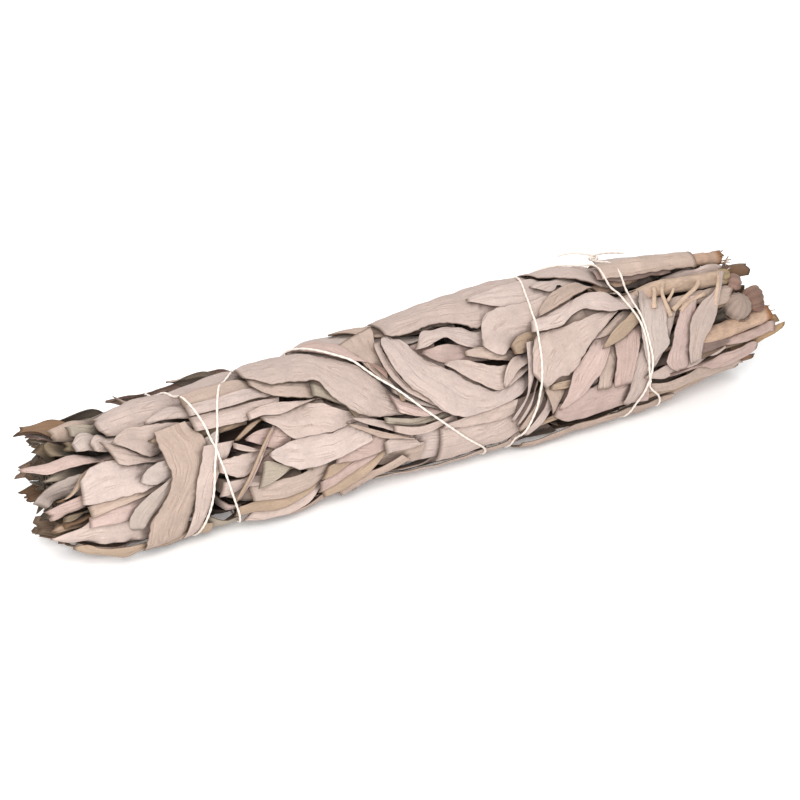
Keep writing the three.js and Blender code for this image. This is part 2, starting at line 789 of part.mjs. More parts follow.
// The leaf as a solid, or grown by a little on every side, to cut room for it in what it passes through.
function leafSolid(laid, grow = 0) {

    const { outerPoints, innerPoints } = laid;
    const rings = outerPoints.map((row, i) => {

        const ring = [...row, ...innerPoints[i].slice().reverse()];
        if (!grow) return ring;
        const middle = ring.reduce((sum, p) => sum.add(p), new THREE.Vector3()).divideScalar(ring.length);
        return ring.map((p, j) => {

            const other = ring[ring.length - 1 - j];
            const away = p.clone().sub(other).normalize();
            return p.clone().addScaledVector(away, grow).add(p.clone().sub(middle).setLength(grow));

        });

    });
    return bladeFromRings(rings, laid.across);

}

// Closed blade: both faces split the same way, with an edge strip on each side and a strip over each end.
function bladeFromRings(rings, across) {

    const count = rings[0].length;
    const positions = rings.flat().flatMap((p) => [p.x, p.y, p.z].map((v) => Math.round(v * 1000) / 1000));
    const triangles = [];
    for (let i = 0; i < rings.length - 1; i++) {

        for (let j = 0; j < count; j++) {

            const a = i * count + j;
            const b = i * count + (j + 1) % count;
            const c = a + count;
            const d = b + count;
            if (j < across) triangles.push(a, c, b, b, c, d);
            else triangles.push(a, c, d, a, d, b);

        }

    }
    const last = (rings.length - 1) * count;
    for (let j = 0; j < across - 1; j++) {

        const [a, b, c, d] = [j, j + 1, count - 2 - j, count - 1 - j];
        triangles.push(a, b, c, a, c, d);
        triangles.push(last + a, last + c, last + b, last + a, last + d, last + c);

    }
    return makeManifold(positions, triangles);

}

function boxOf(solid) {

    const { min, max } = solid.boundingBox();
    return new THREE.Box3(new THREE.Vector3(...min), new THREE.Vector3(...max));

}

function lowerUnder(laid) {

    const rows = laid.innerPoints.length - 1;
    for (let i = 1; i < rows; i++) {

        for (let j = 0; j < laid.across - 1; j++) {

            const [a, b] = [laid.innerPoints[i][j], laid.innerPoints[i + 1][j]];
            const [c, d] = [laid.innerPoints[i][j + 1], laid.innerPoints[i + 1][j + 1]];
            lowerCeiling(a, b, c, d);

        }

    }

}

// Leaves laid so far, from the outside inwards.
const laidLeaves = [];

function addLeaf(leaf) {

    const laid = layLeaf(leaf);
    if (!laid || laid.seen < (leaf.rule ? 0.25 : 0.08)) return;
    if (laid.clamped > (leaf.rule ? 0.1 : 0.6)) return;
    lowerUnder(laid);
    laidLeaves.push(laid);

}

// Places near the wanted root, the ones where one sprig lies flat and alone first, to sink the root in.
const rootMoves = [0, 2, -2, 4, -4];
const rootSinks = [0.5, 1, 1.6];

function rootPlaces(laid) {

    const middle = Math.floor(laid.across / 2);
    const { s, angle } = laid.points[0][middle];
    const perDegree = outerRadius(s, angle) * Math.PI / 180;
    const next = laid.points[1][middle];
    const ahead = new THREE.Vector2(next.s - s, (next.angle - angle) * perDegree).normalize();

    const places = [];
    for (const moveS of rootMoves) {

        for (const moveAngle of rootMoves.map((m) => m * 2.5)) {

            if (ahead.x * moveS + ahead.y * moveAngle * perDegree > 0.6) continue;
            const around = [];
            for (const ds of [-1.4, 0, 1.4]) {

                for (const da of [-5, 0, 5]) around.push(cellIndex(s + moveS + ds, angle + moveAngle + da));

            }
            const owner = floorOwner[around[4]];
            if (owner < 0) continue;
            const foreign = around.filter((k) => floorOwner[k] !== owner).length;
            const radii = around.map((k) => floor[k]);
            const moved = Math.abs(moveS) + Math.abs(moveAngle) / 2.5;
            const spread = foreign * 2 + Math.max(...radii) - Math.min(...radii) + moved * 0.1;
            rootSinks.forEach((sink, deeper) => {

                const radius = floor[around[4]] - sink;
                places.push({ moveS, moveAngle, spread: spread + deeper * 0.9, owner, radius });

            });

        }

    }
    return places.sort((one, other) => one.spread - other.spread).slice(0, rootTries);

}

// Sinks the root of a laid leaf into what lies under it, builds its solid and cuts room for it in its
// neighbours.
const solids = [];
const rootTries = 24;
const rootHold = 0.25;

function buildLeaf(laid) {

    const rootRow = laid.points[0];
    for (const root of rootPlaces(laid)) {

        rootRow.forEach((p, j) => {

            const outer = root.radius + leafThickness;
            const place = [p.s + root.moveS, p.angle + root.moveAngle];
            laid.outerPoints[0][j] = placeAt(...place, outer);
            laid.innerPoints[0][j] = placeAt(...place, outer - leafThickness);

        });
        const solid = leafSolid(laid);
        if (solid.status() !== 'NoError' || solid.volume() < 1) continue;
        const box = boxOf(solid).expandByScalar(0.2);
        const near = solids.filter((other) => other.box.intersectsBox(box));
        const held = near.filter((other) => other.owner === root.owner)
            .reduce((sum, other) => sum + other.solid.intersect(solid).volume(), 0);
        if (held < rootHold) continue;
        const grown = leafSolid(laid, leafGap);
        const meets = (other) => other.owner !== root.owner && other.solid.intersect(grown).volume() > 1e-7;
        const cut = near.filter(meets).map((other) => ({ other, solid: other.solid.subtract(grown) }));
        if (cut.some((piece) => looseShare(piece.solid) > looseLimit)) continue;
        for (const piece of cut) piece.other.solid = piece.solid;
        solids.push({ solid, owner: root.owner, box });
        for (let i = 1; i < laid.outerPoints.length; i++) {

            for (let j = 0; j < laid.across - 1; j++) {

                const [before, here] = [laid.outerPoints[i - 1], laid.outerPoints[i]];
                raiseFloor(before[j], here[j], before[j + 1], here[j + 1], root.owner);

            }

        }
        return;

    }

}

// Share of a solid that a cut has left loose of its largest part.
const looseLimit = 0.12;

function looseShare(solid) {

    const volumes = solid.decompose().map((part) => part.volume()).sort((one, other) => other - one);
    return 1 - volumes[0] / volumes.reduce((sum, volume) => sum + volume, 0);

}

// Opens the places where one solid just touches itself along an edge, by a small cut round the edge.
const touchCut = 0.08;

function openTouches(solid) {

    let result = solid;
    for (let round = 0; round < 5; round++) {

        const { vertProperties, triVerts } = result.getMesh();
        const names = new Map();
        const merged = [];
        const places = [];
        for (let i = 0; i < vertProperties.length; i += 3) {

            const place = [0, 1, 2].map((k) => vertProperties[i + k]);
            const name = place.map((v) => Math.round(v * 1000)).join();
            if (!names.has(name)) {

                names.set(name, places.length);
                places.push(place);

            }
            merged.push(names.get(name));

        }
        const uses = new Map();
        for (let t = 0; t < triVerts.length; t += 3) {

            const corners = [0, 1, 2].map((k) => merged[triVerts[t + k]]);
            if (new Set(corners).size < 3) continue;
            corners.forEach((from, k) => {

                const to = corners[(k + 1) % 3];
                const edge = Math.min(from, to) * places.length + Math.max(from, to);
                uses.set(edge, (uses.get(edge) ?? 0) + 1);

            });

        }
        const touching = [...uses].filter(([, n]) => n !== 2).map(([edge]) => edge);
        if (!touching.length) return result;
        for (const edge of touching) {

            const ends = [places[Math.floor(edge / places.length)], places[edge % places.length]];
            const low = [0, 1, 2].map((k) => Math.min(ends[0][k], ends[1][k]) - touchCut);
            const size = [0, 1, 2].map((k) => Math.max(ends[0][k], ends[1][k]) + touchCut - low[k]);
            result = result.subtract(wasm.Manifold.cube(size).translate(low));

        }

    }
    return result;

}

// Back and underside, which the photograph doesn't show: rows of like leaves from the tips to the cut ends.
const backRows = { from: 22, to: 208, step: 18, firstAngle: 124, lastAngle: 300, angleStep: 34 };

function backLeaves() {

    const random = randomSource(52);
    const forms = ['flat', 'crowned', 'flat', 'crowned', 'rolled'];
    const leaves = [];
    for (let s = backRows.from, row = 0; s <= backRows.to; s += backRows.step, row++) {

        const firstAngle = backRows.firstAngle + (row % 2) * 13;
        for (let angle = firstAngle; angle <= backRows.lastAngle; angle += backRows.angleStep) {

            const length = 30 + 18 * random();
            const skew = (random() - 0.5) * 34;
            leaves.push({
                rule: true,
                from: [s + 6 * (random() - 0.5), angle + 8 * (random() - 0.5)],
                to: [Math.max(s - length, -6), angle + skew],
                wide: 11 + 5 * random(),
                form: angle > 235 ? 'flat' : forms[Math.floor(random() * forms.length)],
                deep: 0.8 * random(),
            });

        }

    }
    return leaves;

}

const outsideIn = [...footLeaves, ...placedLeaves.slice().reverse(), ...backLeaves().reverse(), ...endLeaves];
outsideIn.forEach(addLeaf);

const stemSolids = stems.map((_, k) => solidFromRings(stemRings(k, 0)));
const stemRoom = stems.map((_, k) => solidFromRings(stemRings(k, fitGap)));
for (let k = 0; k < sprigCount; k++) {

    const core = sprigCore(k);
    solids.push({ solid: core, owner: k, box: boxOf(core).expandByScalar(0.2) });

}
for (let s = stemTurnout.from; s < coreEnd + 4; s += cell.s) {

    for (let angle = 0; angle < 360; angle += cell.angle) {

        const k = cellIndex(s, angle);
        const reach = stemReach(s, angle);
        if (reach > floor[k] - 0.6) [floor[k], floorOwner[k]] = [Math.max(reach, floor[k]), -1];

    }

}
laidLeaves.slice().reverse().forEach(buildLeaf);

// One sprig in one piece: its inner part and its leaves, with room for the stems.
function sprigSolid(k) {

    let whole = solids[k].solid;
    for (const piece of solids.slice(sprigCount)) if (piece.owner === k) whole = whole.add(piece.solid);
    for (const room of stemRoom) whole = whole.subtract(room);
    return largestPart(openTouches(whole.simplify(0.04)));

}

// One cotton thread, wound round the bundle from a knot on top and back to it: [angle, s], the angle running on
// from turn to turn. Where it crosses itself the later turn goes over the earlier one.
const threadRoute = [
    [112, 176], [92, 177.5], [76, 178], [50, 177.3], [25, 177.6], [0, 178.3], [-22, 176.8], [-36, 175], [-60, 173],
    [-90, 171], [-130, 168], [-175, 163], [-215, 157], [-240, 152], [-260, 149.8], [-284, 147], [-314, 144.5],
    [-340, 142.5], [-362, 141], [-374, 139.6], [-402, 137], [-420, 136.3], [-450, 136], [-480, 134], [-515, 122],
    [-545, 104], [-578, 84], [-608, 68], [-634, 56], [-654, 51.3], [-678, 48], [-704, 45], [-734, 43.7], [-760, 41.5],
    [-785, 40.5], [-850, 39.5], [-895, 40], [-940, 40.8], [-980, 41.5], [-1008, 43.2], [-1037, 45.3], [-1061, 46.7],
    [-1092, 49.5], [-1118, 52.5], [-1145, 55], [-1170, 57], [-1205, 61], [-1250, 67], [-1295, 74], [-1335, 81],
    [-1359, 87], [-1371, 90.5], [-1393, 95.5], [-1422, 104.5], [-1453, 116], [-1481, 127], [-1505, 128.5],
    [-1530, 129], [-1562, 132], [-1600, 140], [-1640, 150], [-1670, 161], [-1696, 171], [-1721, 172.8], [-1738, 174.6],
    [-1763, 176.4], [-1787, 177], [-1810, 177.6], [-1820, 178.6], [-1835, 183], [-1860, 185], [-1890, 185],
    [-1930, 184], [-1975, 182], [-2020, 179.5], [-2048, 177],
];
const threadStep = 18;
const threadSides = 4;
const threadSlack = 0.36;
const threadLift = 0.86;
const liftWidth = 1.7;
const knot = { s: 176.5, angle: 112, radius: [1.9, 1.5, 1.2] };
const knotTails = [
    [[176.5, 112], [180, 115], [184, 117], [187, 116]],
    [[176.5, 112], [173, 114], [170, 117], [167.5, 121]],
];

// Place along the bundle of the thread when it has wound to an angle: a smooth curve through its route.
function threadPlace(angle) {

    let k = 1;
    while (k < threadRoute.length - 1 && angle < threadRoute[k][0]) k++;
    const slope = (i) => {

        const before = threadRoute[Math.max(i - 1, 0)];
        const after = threadRoute[Math.min(i + 1, threadRoute.length - 1)];
        return (after[1] - before[1]) / (after[0] - before[0]);

    };
    const [a0, s0] = threadRoute[k - 1];
    const [a1, s1] = threadRoute[k];
    const t = (angle - a0) / (a1 - a0);
    const width = a1 - a0;
    return (2 * t ** 3 - 3 * t ** 2 + 1) * s0 + (t ** 3 - 2 * t ** 2 + t) * width * slope(k - 1)
        + (3 * t ** 2 - 2 * t ** 3) * s1 + (t ** 3 - t ** 2) * width * slope(k);

}

// Distance along the bundle from the thread at an angle to the same thread a number of turns before.
function turnGap(angle, turns) {

    return threadPlace(angle) - threadPlace(angle + 360 * turns);

}

function liftAt(angle) {

    let lift = 0;
    for (let turns = 1; angle + 360 * turns < threadRoute[0][0] - 8; turns++) {

        const near = clamp(1 - Math.abs(turnGap(angle, turns)) / liftWidth, 0, 1);
        lift = Math.max(lift, threadLift * smooth(near));

    }
    return lift;

}

// Angles at which the thread gets a ring: even steps, and one at each crossing.
function threadAngles() {

    const [first, last] = [threadRoute[0][0], threadRoute[threadRoute.length - 1][0]];
    const angles = [];
    for (let angle = first; angle >= last; angle -= threadStep) angles.push(angle);
    for (let angle = first - 360; angle > last; angle--) {

        for (let turns = 1; angle + 360 * turns < first - 8; turns++) {

            if (turnGap(angle, turns) * turnGap(angle - 1, turns) < 0) angles.push(angle - 0.5);

        }

    }
    angles.sort((one, other) => other - one);
    const isEnd = (i) => i === 0 || i === angles.length - 1;
    return angles.filter((angle, i) => isEnd(i) || angles[i - 1] - angle > 3 || angle % 1 !== 0);

}

// A round cord through places, as rings across it: sideways and outwards from the bundle's axis.
function cordRings(points, radius, sides) {

    return points.map((point, i) => {

        const next = points[Math.min(i + 1, points.length - 1)];
        const ahead = next.clone().sub(points[Math.max(i - 1, 0)]).normalize();
        const out = new THREE.Vector3(0, point.y, point.z - axisHeight).normalize();
        const side = ahead.clone().cross(out).normalize();
        const up = side.clone().cross(ahead).normalize();
        return Array.from({ length: sides }, (_, j) => {

            const a = Math.PI / 2 + j * 2 * Math.PI / sides;
            return point.clone().addScaledVector(side, radius * Math.cos(a))
                .addScaledVector(up, radius * Math.sin(a));

        });

    });

}

function onSurface(s, angle, height) {

    const lowest = radiusAtHeight(threadRadius + 0.1, angle);
    return placeAt(s, angle, Math.min(outerRadius(s, angle) + height, lowest));

}

// The thread is built a turn at a time, so no piece meets itself, and the turns, tails and knot are joined.
function threadSolid(radius) {

    const angles = threadAngles();
    const base = threadRadius + threadSlack;
    const points = angles.map((angle) => onSurface(threadPlace(angle), angle, base + liftAt(angle)));
    const perTurn = Math.round(330 / threadStep);
    let whole = null;
    for (let i = 0; i < points.length - 1; i += perTurn) {

        const turn = solidFromRings(cordRings(points.slice(i, i + perTurn + 1), radius, threadSides));
        whole = whole ? whole.add(turn) : turn;

    }
    for (const tail of knotTails) {

        const rise = (i) => (i === tail.length - 1 ? 0.8 : 0.3);
        const places = tail.map(([s, angle], i) => onSurface(s, angle, base + rise(i)));
        whole = whole.add(solidFromRings(cordRings(places, radius, threadSides)));

    }
    const centre = onSurface(knot.s, knot.angle, 0.9);
    const lump = wasm.Manifold.sphere(1, 8).scale(knot.radius.map((r) => r + radius - threadRadius))
        .rotate([knot.angle - 90, 0, 0]).translate([centre.x, centre.y, centre.z]);
    return whole.add(lump);

}

// A bud on its stalk at the cut end, which belongs to the second sprig.
const bud = { s: 212, angle: 32, radius: 3.2, away: 13.3 };
const budStalk = { radius: 0.9, from: [192, 40, 11], to: [210, 32, 13] };

function budSolid() {

    const centre = placeAt(bud.s, bud.angle, bud.away);
    const ball = wasm.Manifold.sphere(bud.radius, 16).translate([centre.x, centre.y, centre.z]);
    const ends = [placeAt(...budStalk.from), placeAt(...budStalk.to)];
    const stalk = solidFromRings(cordRings(ends, budStalk.radius, 6));
    return ball.add(stalk);

}

// Leaf stalks that leave the second stem and bend down over the leaves: place on the bundle and height over it.
const leafStalks = [
    [[186, 59, -1.2], [184, 49, 0.2], [182.4, 40, 0.1]],
    [[190, 59, -1.2], [187.5, 46, 0.3], [187.4, 34, 0.3], [187, 27, 0.1]],
    [[199, 59, -1.2], [194.5, 51, 0.2], [190.4, 45, 0.1]],
    [[205.5, 59, -1.2], [204.5, 50, 0.4], [203, 42, 0.3], [201, 35, 0.1]],
];
const leafStalkRadius = 0.75;

function stalkSolids(grow) {

    return leafStalks.map((stalk) => {

        const points = stalk.map(([s, angle, height]) => placeAt(s, angle, outerRadius(s, angle) + height));
        return solidFromRings(cordRings(points, leafStalkRadius + grow, 5));

    });

}

function largestPart(solid) {

    return solid.decompose().sort((one, other) => other.volume() - one.volume())[0];

}

// Cuts the grown copy of one piece out of another where they would cross.
function clearOf(solid, grown) {

    return solid.intersect(grown).volume() > 1e-6 ? largestPart(openTouches(solid.subtract(grown))) : solid;

}

const thread = threadSolid(threadRadius);
const threadRoom = threadSolid(threadRadius + 0.08);
stalkSolids(0).forEach((stalk) => (stemSolids[1] = stemSolids[1].add(stalk)));
const stalkRoom = stalkSolids(0.15);
const sprigs = stems.map((_, k) => sprigSolid(k));
sprigs[1] = sprigs[1].add(budSolid());
const budRoom = budSolid();
for (let k = 0; k < sprigCount; k++) {

    for (const room of stalkRoom) sprigs[k] = clearOf(sprigs[k], room);
    sprigs[k] = clearOf(sprigs[k], threadRoom);
    if (k !== 1) sprigs[k] = clearOf(sprigs[k], budRoom);
    for (let other = 0; other < k; other++) {

        if (sprigs[k].intersect(sprigs[other]).volume() <= 1e-4) continue;
        sprigs[k] = largestPart(openTouches(sprigs[k].subtract(sprigs[other])));

    }

}
const pieces = [
    ...sprigs.map((solid, k) => [`sprig_${k + 1}_leaves`, solid, leafColour, 0.9]),
    ...stemSolids.map((solid, k) => [`sprig_${k + 1}_stem`, solid, stemColour, 0.8]),
    ['cotton_thread', thread, threadColour, 0.85],
];
for (const piece of pieces) piece[1] = cleanTriangles(openTouches(piece[1]));
const bounds = new THREE.Box3();
for (const [, solid] of pieces) bounds.union(boxOf(solid));
const middle = bounds.getCenter(new THREE.Vector3());
const shift = [-middle.x, -middle.y, -bounds.min.z];

const group = new THREE.Group();
for (const [name, solid, colour, roughness] of pieces) {

    group.add(meshFromManifold(name, solid.translate(shift), colour, roughness));

}
export default group;
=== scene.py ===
import math

import bpy
import numpy as np
from mathutils import Matrix, Vector


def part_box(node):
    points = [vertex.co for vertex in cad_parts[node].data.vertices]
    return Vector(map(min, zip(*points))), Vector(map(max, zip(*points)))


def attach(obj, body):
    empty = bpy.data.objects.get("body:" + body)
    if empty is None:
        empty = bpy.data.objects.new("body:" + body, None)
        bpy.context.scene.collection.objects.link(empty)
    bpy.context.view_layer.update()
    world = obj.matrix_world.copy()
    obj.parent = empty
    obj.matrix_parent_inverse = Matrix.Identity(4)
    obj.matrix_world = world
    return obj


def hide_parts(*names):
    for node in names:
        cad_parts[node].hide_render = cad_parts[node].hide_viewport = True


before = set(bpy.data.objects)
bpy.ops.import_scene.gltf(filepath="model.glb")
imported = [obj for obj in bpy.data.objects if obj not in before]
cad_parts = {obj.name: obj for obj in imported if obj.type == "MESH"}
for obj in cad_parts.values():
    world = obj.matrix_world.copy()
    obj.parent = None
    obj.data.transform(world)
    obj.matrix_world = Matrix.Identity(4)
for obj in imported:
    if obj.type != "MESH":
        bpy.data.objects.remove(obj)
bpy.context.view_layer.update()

# Camera, at the photograph's place: in front of the bundle and a little to the side of its leaf tips,
# looking down on it at 30 degrees. The long lens keeps the bundle's two sides nearly parallel.
view_azimuth = -28.5
view_elevation = 30.0
view_distance = 0.9
view_point = Vector((-0.0004, 0.0, 0.020))
picture_side = 800
focal_pixels = 3290
centre_row = 395

camera_data = bpy.data.cameras.new("camera")
camera = bpy.data.objects.new("camera", camera_data)
bpy.context.scene.collection.objects.link(camera)
bpy.context.scene.camera = camera
azimuth, elevation = math.radians(view_azimuth), math.radians(view_elevation)
view_back = Vector((math.sin(azimuth) * math.cos(elevation), -math.cos(azimuth) * math.cos(elevation),
                    math.sin(elevation)))
view_right = Vector((math.cos(azimuth), math.sin(azimuth), 0.0))
camera.matrix_world = Matrix.Translation(view_point + view_distance * view_back) @ Matrix(
    (view_right, view_back.cross(view_right), view_back)).transposed().to_4x4()
camera_data.lens = camera_data.sensor_width * focal_pixels / picture_side
camera_data.shift_y = (centre_row - picture_side / 2) / picture_side
camera_data.clip_start = 0.01
camera_data.dof.use_dof = False


# Studio: a white table top under a wide white sky, a large soft lamp above the leaf tips and a weaker one
# behind, so that the ground comes out white and the bundle keeps a soft shadow under its near side.
def linear_colour(hex_colour, alpha=1.0):
    """sRGB hex to linear: below 0.04045 a straight line, above it the power 2.4 of (c + 0.055) / 1.055."""
    channels = [int(hex_colour[i:i + 2], 16) / 255 for i in (1, 3, 5)]
    return [c / 12.92 if c <= 0.04045 else ((c + 0.055) / 1.055) ** 2.4 for c in channels] + [alpha]


def add_node(tree, kind, inputs=None, **settings):
    """One shader node with its settings; an input is given a value, or linked where it is a socket."""
    made = tree.nodes.new(kind)
    for name, value in settings.items():
        setattr(made, name, value)
    for name, value in (inputs or {}).items():
        if isinstance(value, bpy.types.NodeSocket):
            tree.links.new(value, made.inputs[name])
        else:
            made.inputs[name].default_value = value
    return made


def new_material(name, **values):
    """A material with its node tree and its shader; values are set on the shader's own sockets, whose names
    are given with _ for a space."""
    made = bpy.data.materials.new(name)
    made.use_nodes = True
    made_shader = made.node_tree.nodes["Principled BSDF"]
    for socket, value in values.items():
        made_shader.inputs[socket.replace("_", " ")].default_value = value
    return made, made.node_tree, made_shader


sky_strength = 0.80
bpy.context.scene.view_settings.view_transform = "Standard"
world = bpy.data.worlds.new("white_sky")
bpy.context.scene.world = world
world.use_nodes = True
world.node_tree.nodes["Background"].inputs["Color"].default_value = linear_colour("#ffffff")
world.node_tree.nodes["Background"].inputs["Strength"].default_value = sky_strength

# Each lamp's name, its place and its width in metres, and its power in watts.
lamps = [
    ("key", (-0.38, -0.55, 0.55), 0.45, 6.0),
    ("rim", (0.25, 0.45, 0.65), 0.5, 1.5),
]
for name, place, size, power in lamps:
    lamp_data = bpy.data.lights.new(name, "AREA")
    lamp_data.shape = "DISK"
    lamp_data.size = size
    lamp_data.energy = power
    lamp = bpy.data.objects.new(name, lamp_data)
    bpy.context.scene.collection.objects.link(lamp)
    facing = Vector(place).to_track_quat("Z", "Y").to_matrix().to_4x4()
    lamp.matrix_world = Matrix.Translation(Vector(place)) @ facing

ground_half = 3.0
ground_mesh = bpy.data.meshes.new("ground")
ground_mesh.from_pydata([(-ground_half, -ground_half, 0), (ground_half, -ground_half, 0),
                         (ground_half, ground_half, 0), (-ground_half, ground_half, 0)], [], [(0, 1, 2, 3)])
ground = bpy.data.objects.new("ground", ground_mesh)
bpy.context.scene.collection.objects.link(ground)

# White board: matt and even, with a weak light of its own, so that its far side fades into the sky.
white_board, *_ = new_material(
    "white_board", Base_Color=linear_colour("#fbfbfb"), Roughness=0.9, Specular_IOR_Level=0.1,
    Emission_Color=linear_colour("#ffffff"), Emission_Strength=0.12)
ground_mesh.materials.append(white_board)

# Leaves. Dried white sage leaves, packed tip against root into nine sprigs and pressed flat by the thread,
# each a thin felted blade that curls along its length. They are laid from the outside inwards: a leaf lies
# under those laid before it.

# A place is s, in millimetres along the bundle from its leaf tips, and an angle round it in degrees, with 0
# at the front and 90 on top. Radii are in millimetres too.
axis_height = 21.0
stem_start = 60.0
start_s = stem_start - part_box("sprig_1_stem")[0].x * 1000
leaf_lift = 0.8

# The bundle's radius along it, all round and where it spreads over what it lies on.
outer_at = np.array([-8, 0, 12, 30, 60, 90, 115, 140, 165, 190, 205, 220, 230.0])
outer_mm = np.array([11, 13.5, 17.5, 20, 20.5, 20, 21.5, 22.8, 22.5, 20.5, 18.5, 15.5, 13])
low_at = np.array([-8, 0, 10, 20, 35, 60, 85, 105, 130, 180, 200, 210, 220, 230.0])
low_mm = np.array([11, 15, 21, 24, 24, 21.5, 23.5, 22.3, 22.8, 23.8, 22.5, 20, 18, 15])
low_full, low_none = 35.0, 85.0

# Swells and dents: the place of the middle, half sizes along and round, and height.
swells = [
    (46, 122, 13, 28, -1.2), (75, 122, 9, 22, -1.8), (135, 120, 26, 30, 1.5), (166, 118, 14, 25, 2.2),
    (64, -55, 16, 26, 2.6), (200, -55, 12, 24, -2.3), (4, -60, 14, 40, -1.8), (145, -55, 8, 16, 1.5),
    (95, -55, 8, 16, -2.0),
]


def smooth_step(t):
    """Three t squared less two t cubed, with t held between 0 and 1."""
    t = np.clip(t, 0, 1)
    return t * t * (3 - 2 * t)


def height_radius(height, angle):
    """Radius at which a point at an angle below the axis reaches a height: the drop over its sine."""
    down = -np.sin(np.radians(angle))
    return np.where(down > 0.2, (axis_height - height) / np.maximum(down, 0.2), 1e3)


def degrees_off(angle, middle):
    """Degrees from a middle angle to another, between -180 and 180."""
    return (angle - middle + 180) % 360 - 180


def outer_radius(s, angle):
    """Radius of the whole bundle: the round profile above, blended by the angle from the lowest line into
    the spread profile below, with bell-shaped swells and dents, and cut off where the leaves lie."""
    from_bottom = np.abs((angle + 90 + 540) % 360 - 180)
    low = smooth_step((low_none - from_bottom) / (low_none - low_full))
    radius = np.interp(s, outer_at, outer_mm) * (1 - low) + np.interp(s, low_at, low_mm) * low
    for at_s, at_angle, half_s, half_angle, height in swells:
        round_off = ((s - at_s) / half_s) ** 2 + (degrees_off(angle, at_angle) / half_angle) ** 2
        radius = radius + height * np.exp(-1.2 * round_off)
    return np.minimum(radius, height_radius(leaf_lift, angle))


def place_at(s, angle, radius):
    """Point of the bundle in metres: s along X, and the radius turned by the angle round its axis."""
    a = np.radians(angle)
    return np.stack(np.broadcast_arrays(
        s - start_s, -radius * np.cos(a), axis_height + radius * np.sin(a)), -1) / 1000


# A blade's two colours: the lighter one of its face, and the darker one that it varies to.
tones = {
    "pale": ("#beaca4", "#a28877"),
    "beige": ("#b7a397", "#987f6a"),
    "pink": ("#baa39b", "#9e8275"),
    "grey": ("#b3a49c", "#8e7e6f"),
    "sage": ("#a99c8d", "#81715f"),
    "tan": ("#ad9783", "#876950"),
    "olive": ("#897863", "#64513b"),
    "brown": ("#82664f", "#573e2d"),
    "ochre": ("#a88a6a", "#805f3d"),
}

# How far round a blade curls across its width in degrees, and whether its edges turn out.
curls = {"flat": (14, -1), "crowned": (62, -1), "cupped": (80, 1), "rolled": (170, -1), "open": (210, 1),
         "tube": (290, -1), "cone": (330, -1), "stalk": (200, -1), "foot": (2, -1)}


def leaf(s0, a0, s1, a1, wide, form, tone="pale", **more):
    """One leaf: rooted at (s0, a0), with its tip at (s1, a1), and its width in millimetres. Options in
    millimetres: deep sets it below the bundle's surface, rise lifts its tip, tuck runs it on beyond its
    root, and most is how far at most it gives way to the leaves over it. A tip can be torn or blunt, and
    via is a place on the middle line. A coarse leaf has fewer points."""
    return dict(root=(s0, a0), tip=(s1, a1), wide=wide, form=form, tone=tone, **more)


def sided(one_side, other_side, tone="pale", form="flat", **more):
    """One leaf given by its two long sides, each a row of (s, angle) places from the root to the tip."""
    root, tip = [((one_side[k][0] + other_side[k][0]) / 2, (one_side[k][1] + other_side[k][1]) / 2)
                 for k in (0, -1)]
    return dict(root=root, tip=tip, wide=8, sides=(one_side, other_side), form=form, tone=tone, **more)


foot_leaves = [
    leaf(36, -98, 12, -92, 10, "foot", "beige"),
    leaf(96, -82, 68, -88, 10, "foot", "beige"),
    leaf(124, -105, 98, -96, 10, "foot", "beige"),
    leaf(168, -82, 143, -90, 10, "foot", "beige"),
    leaf(190, -104, 212, -96, 9, "foot", "beige"),
]

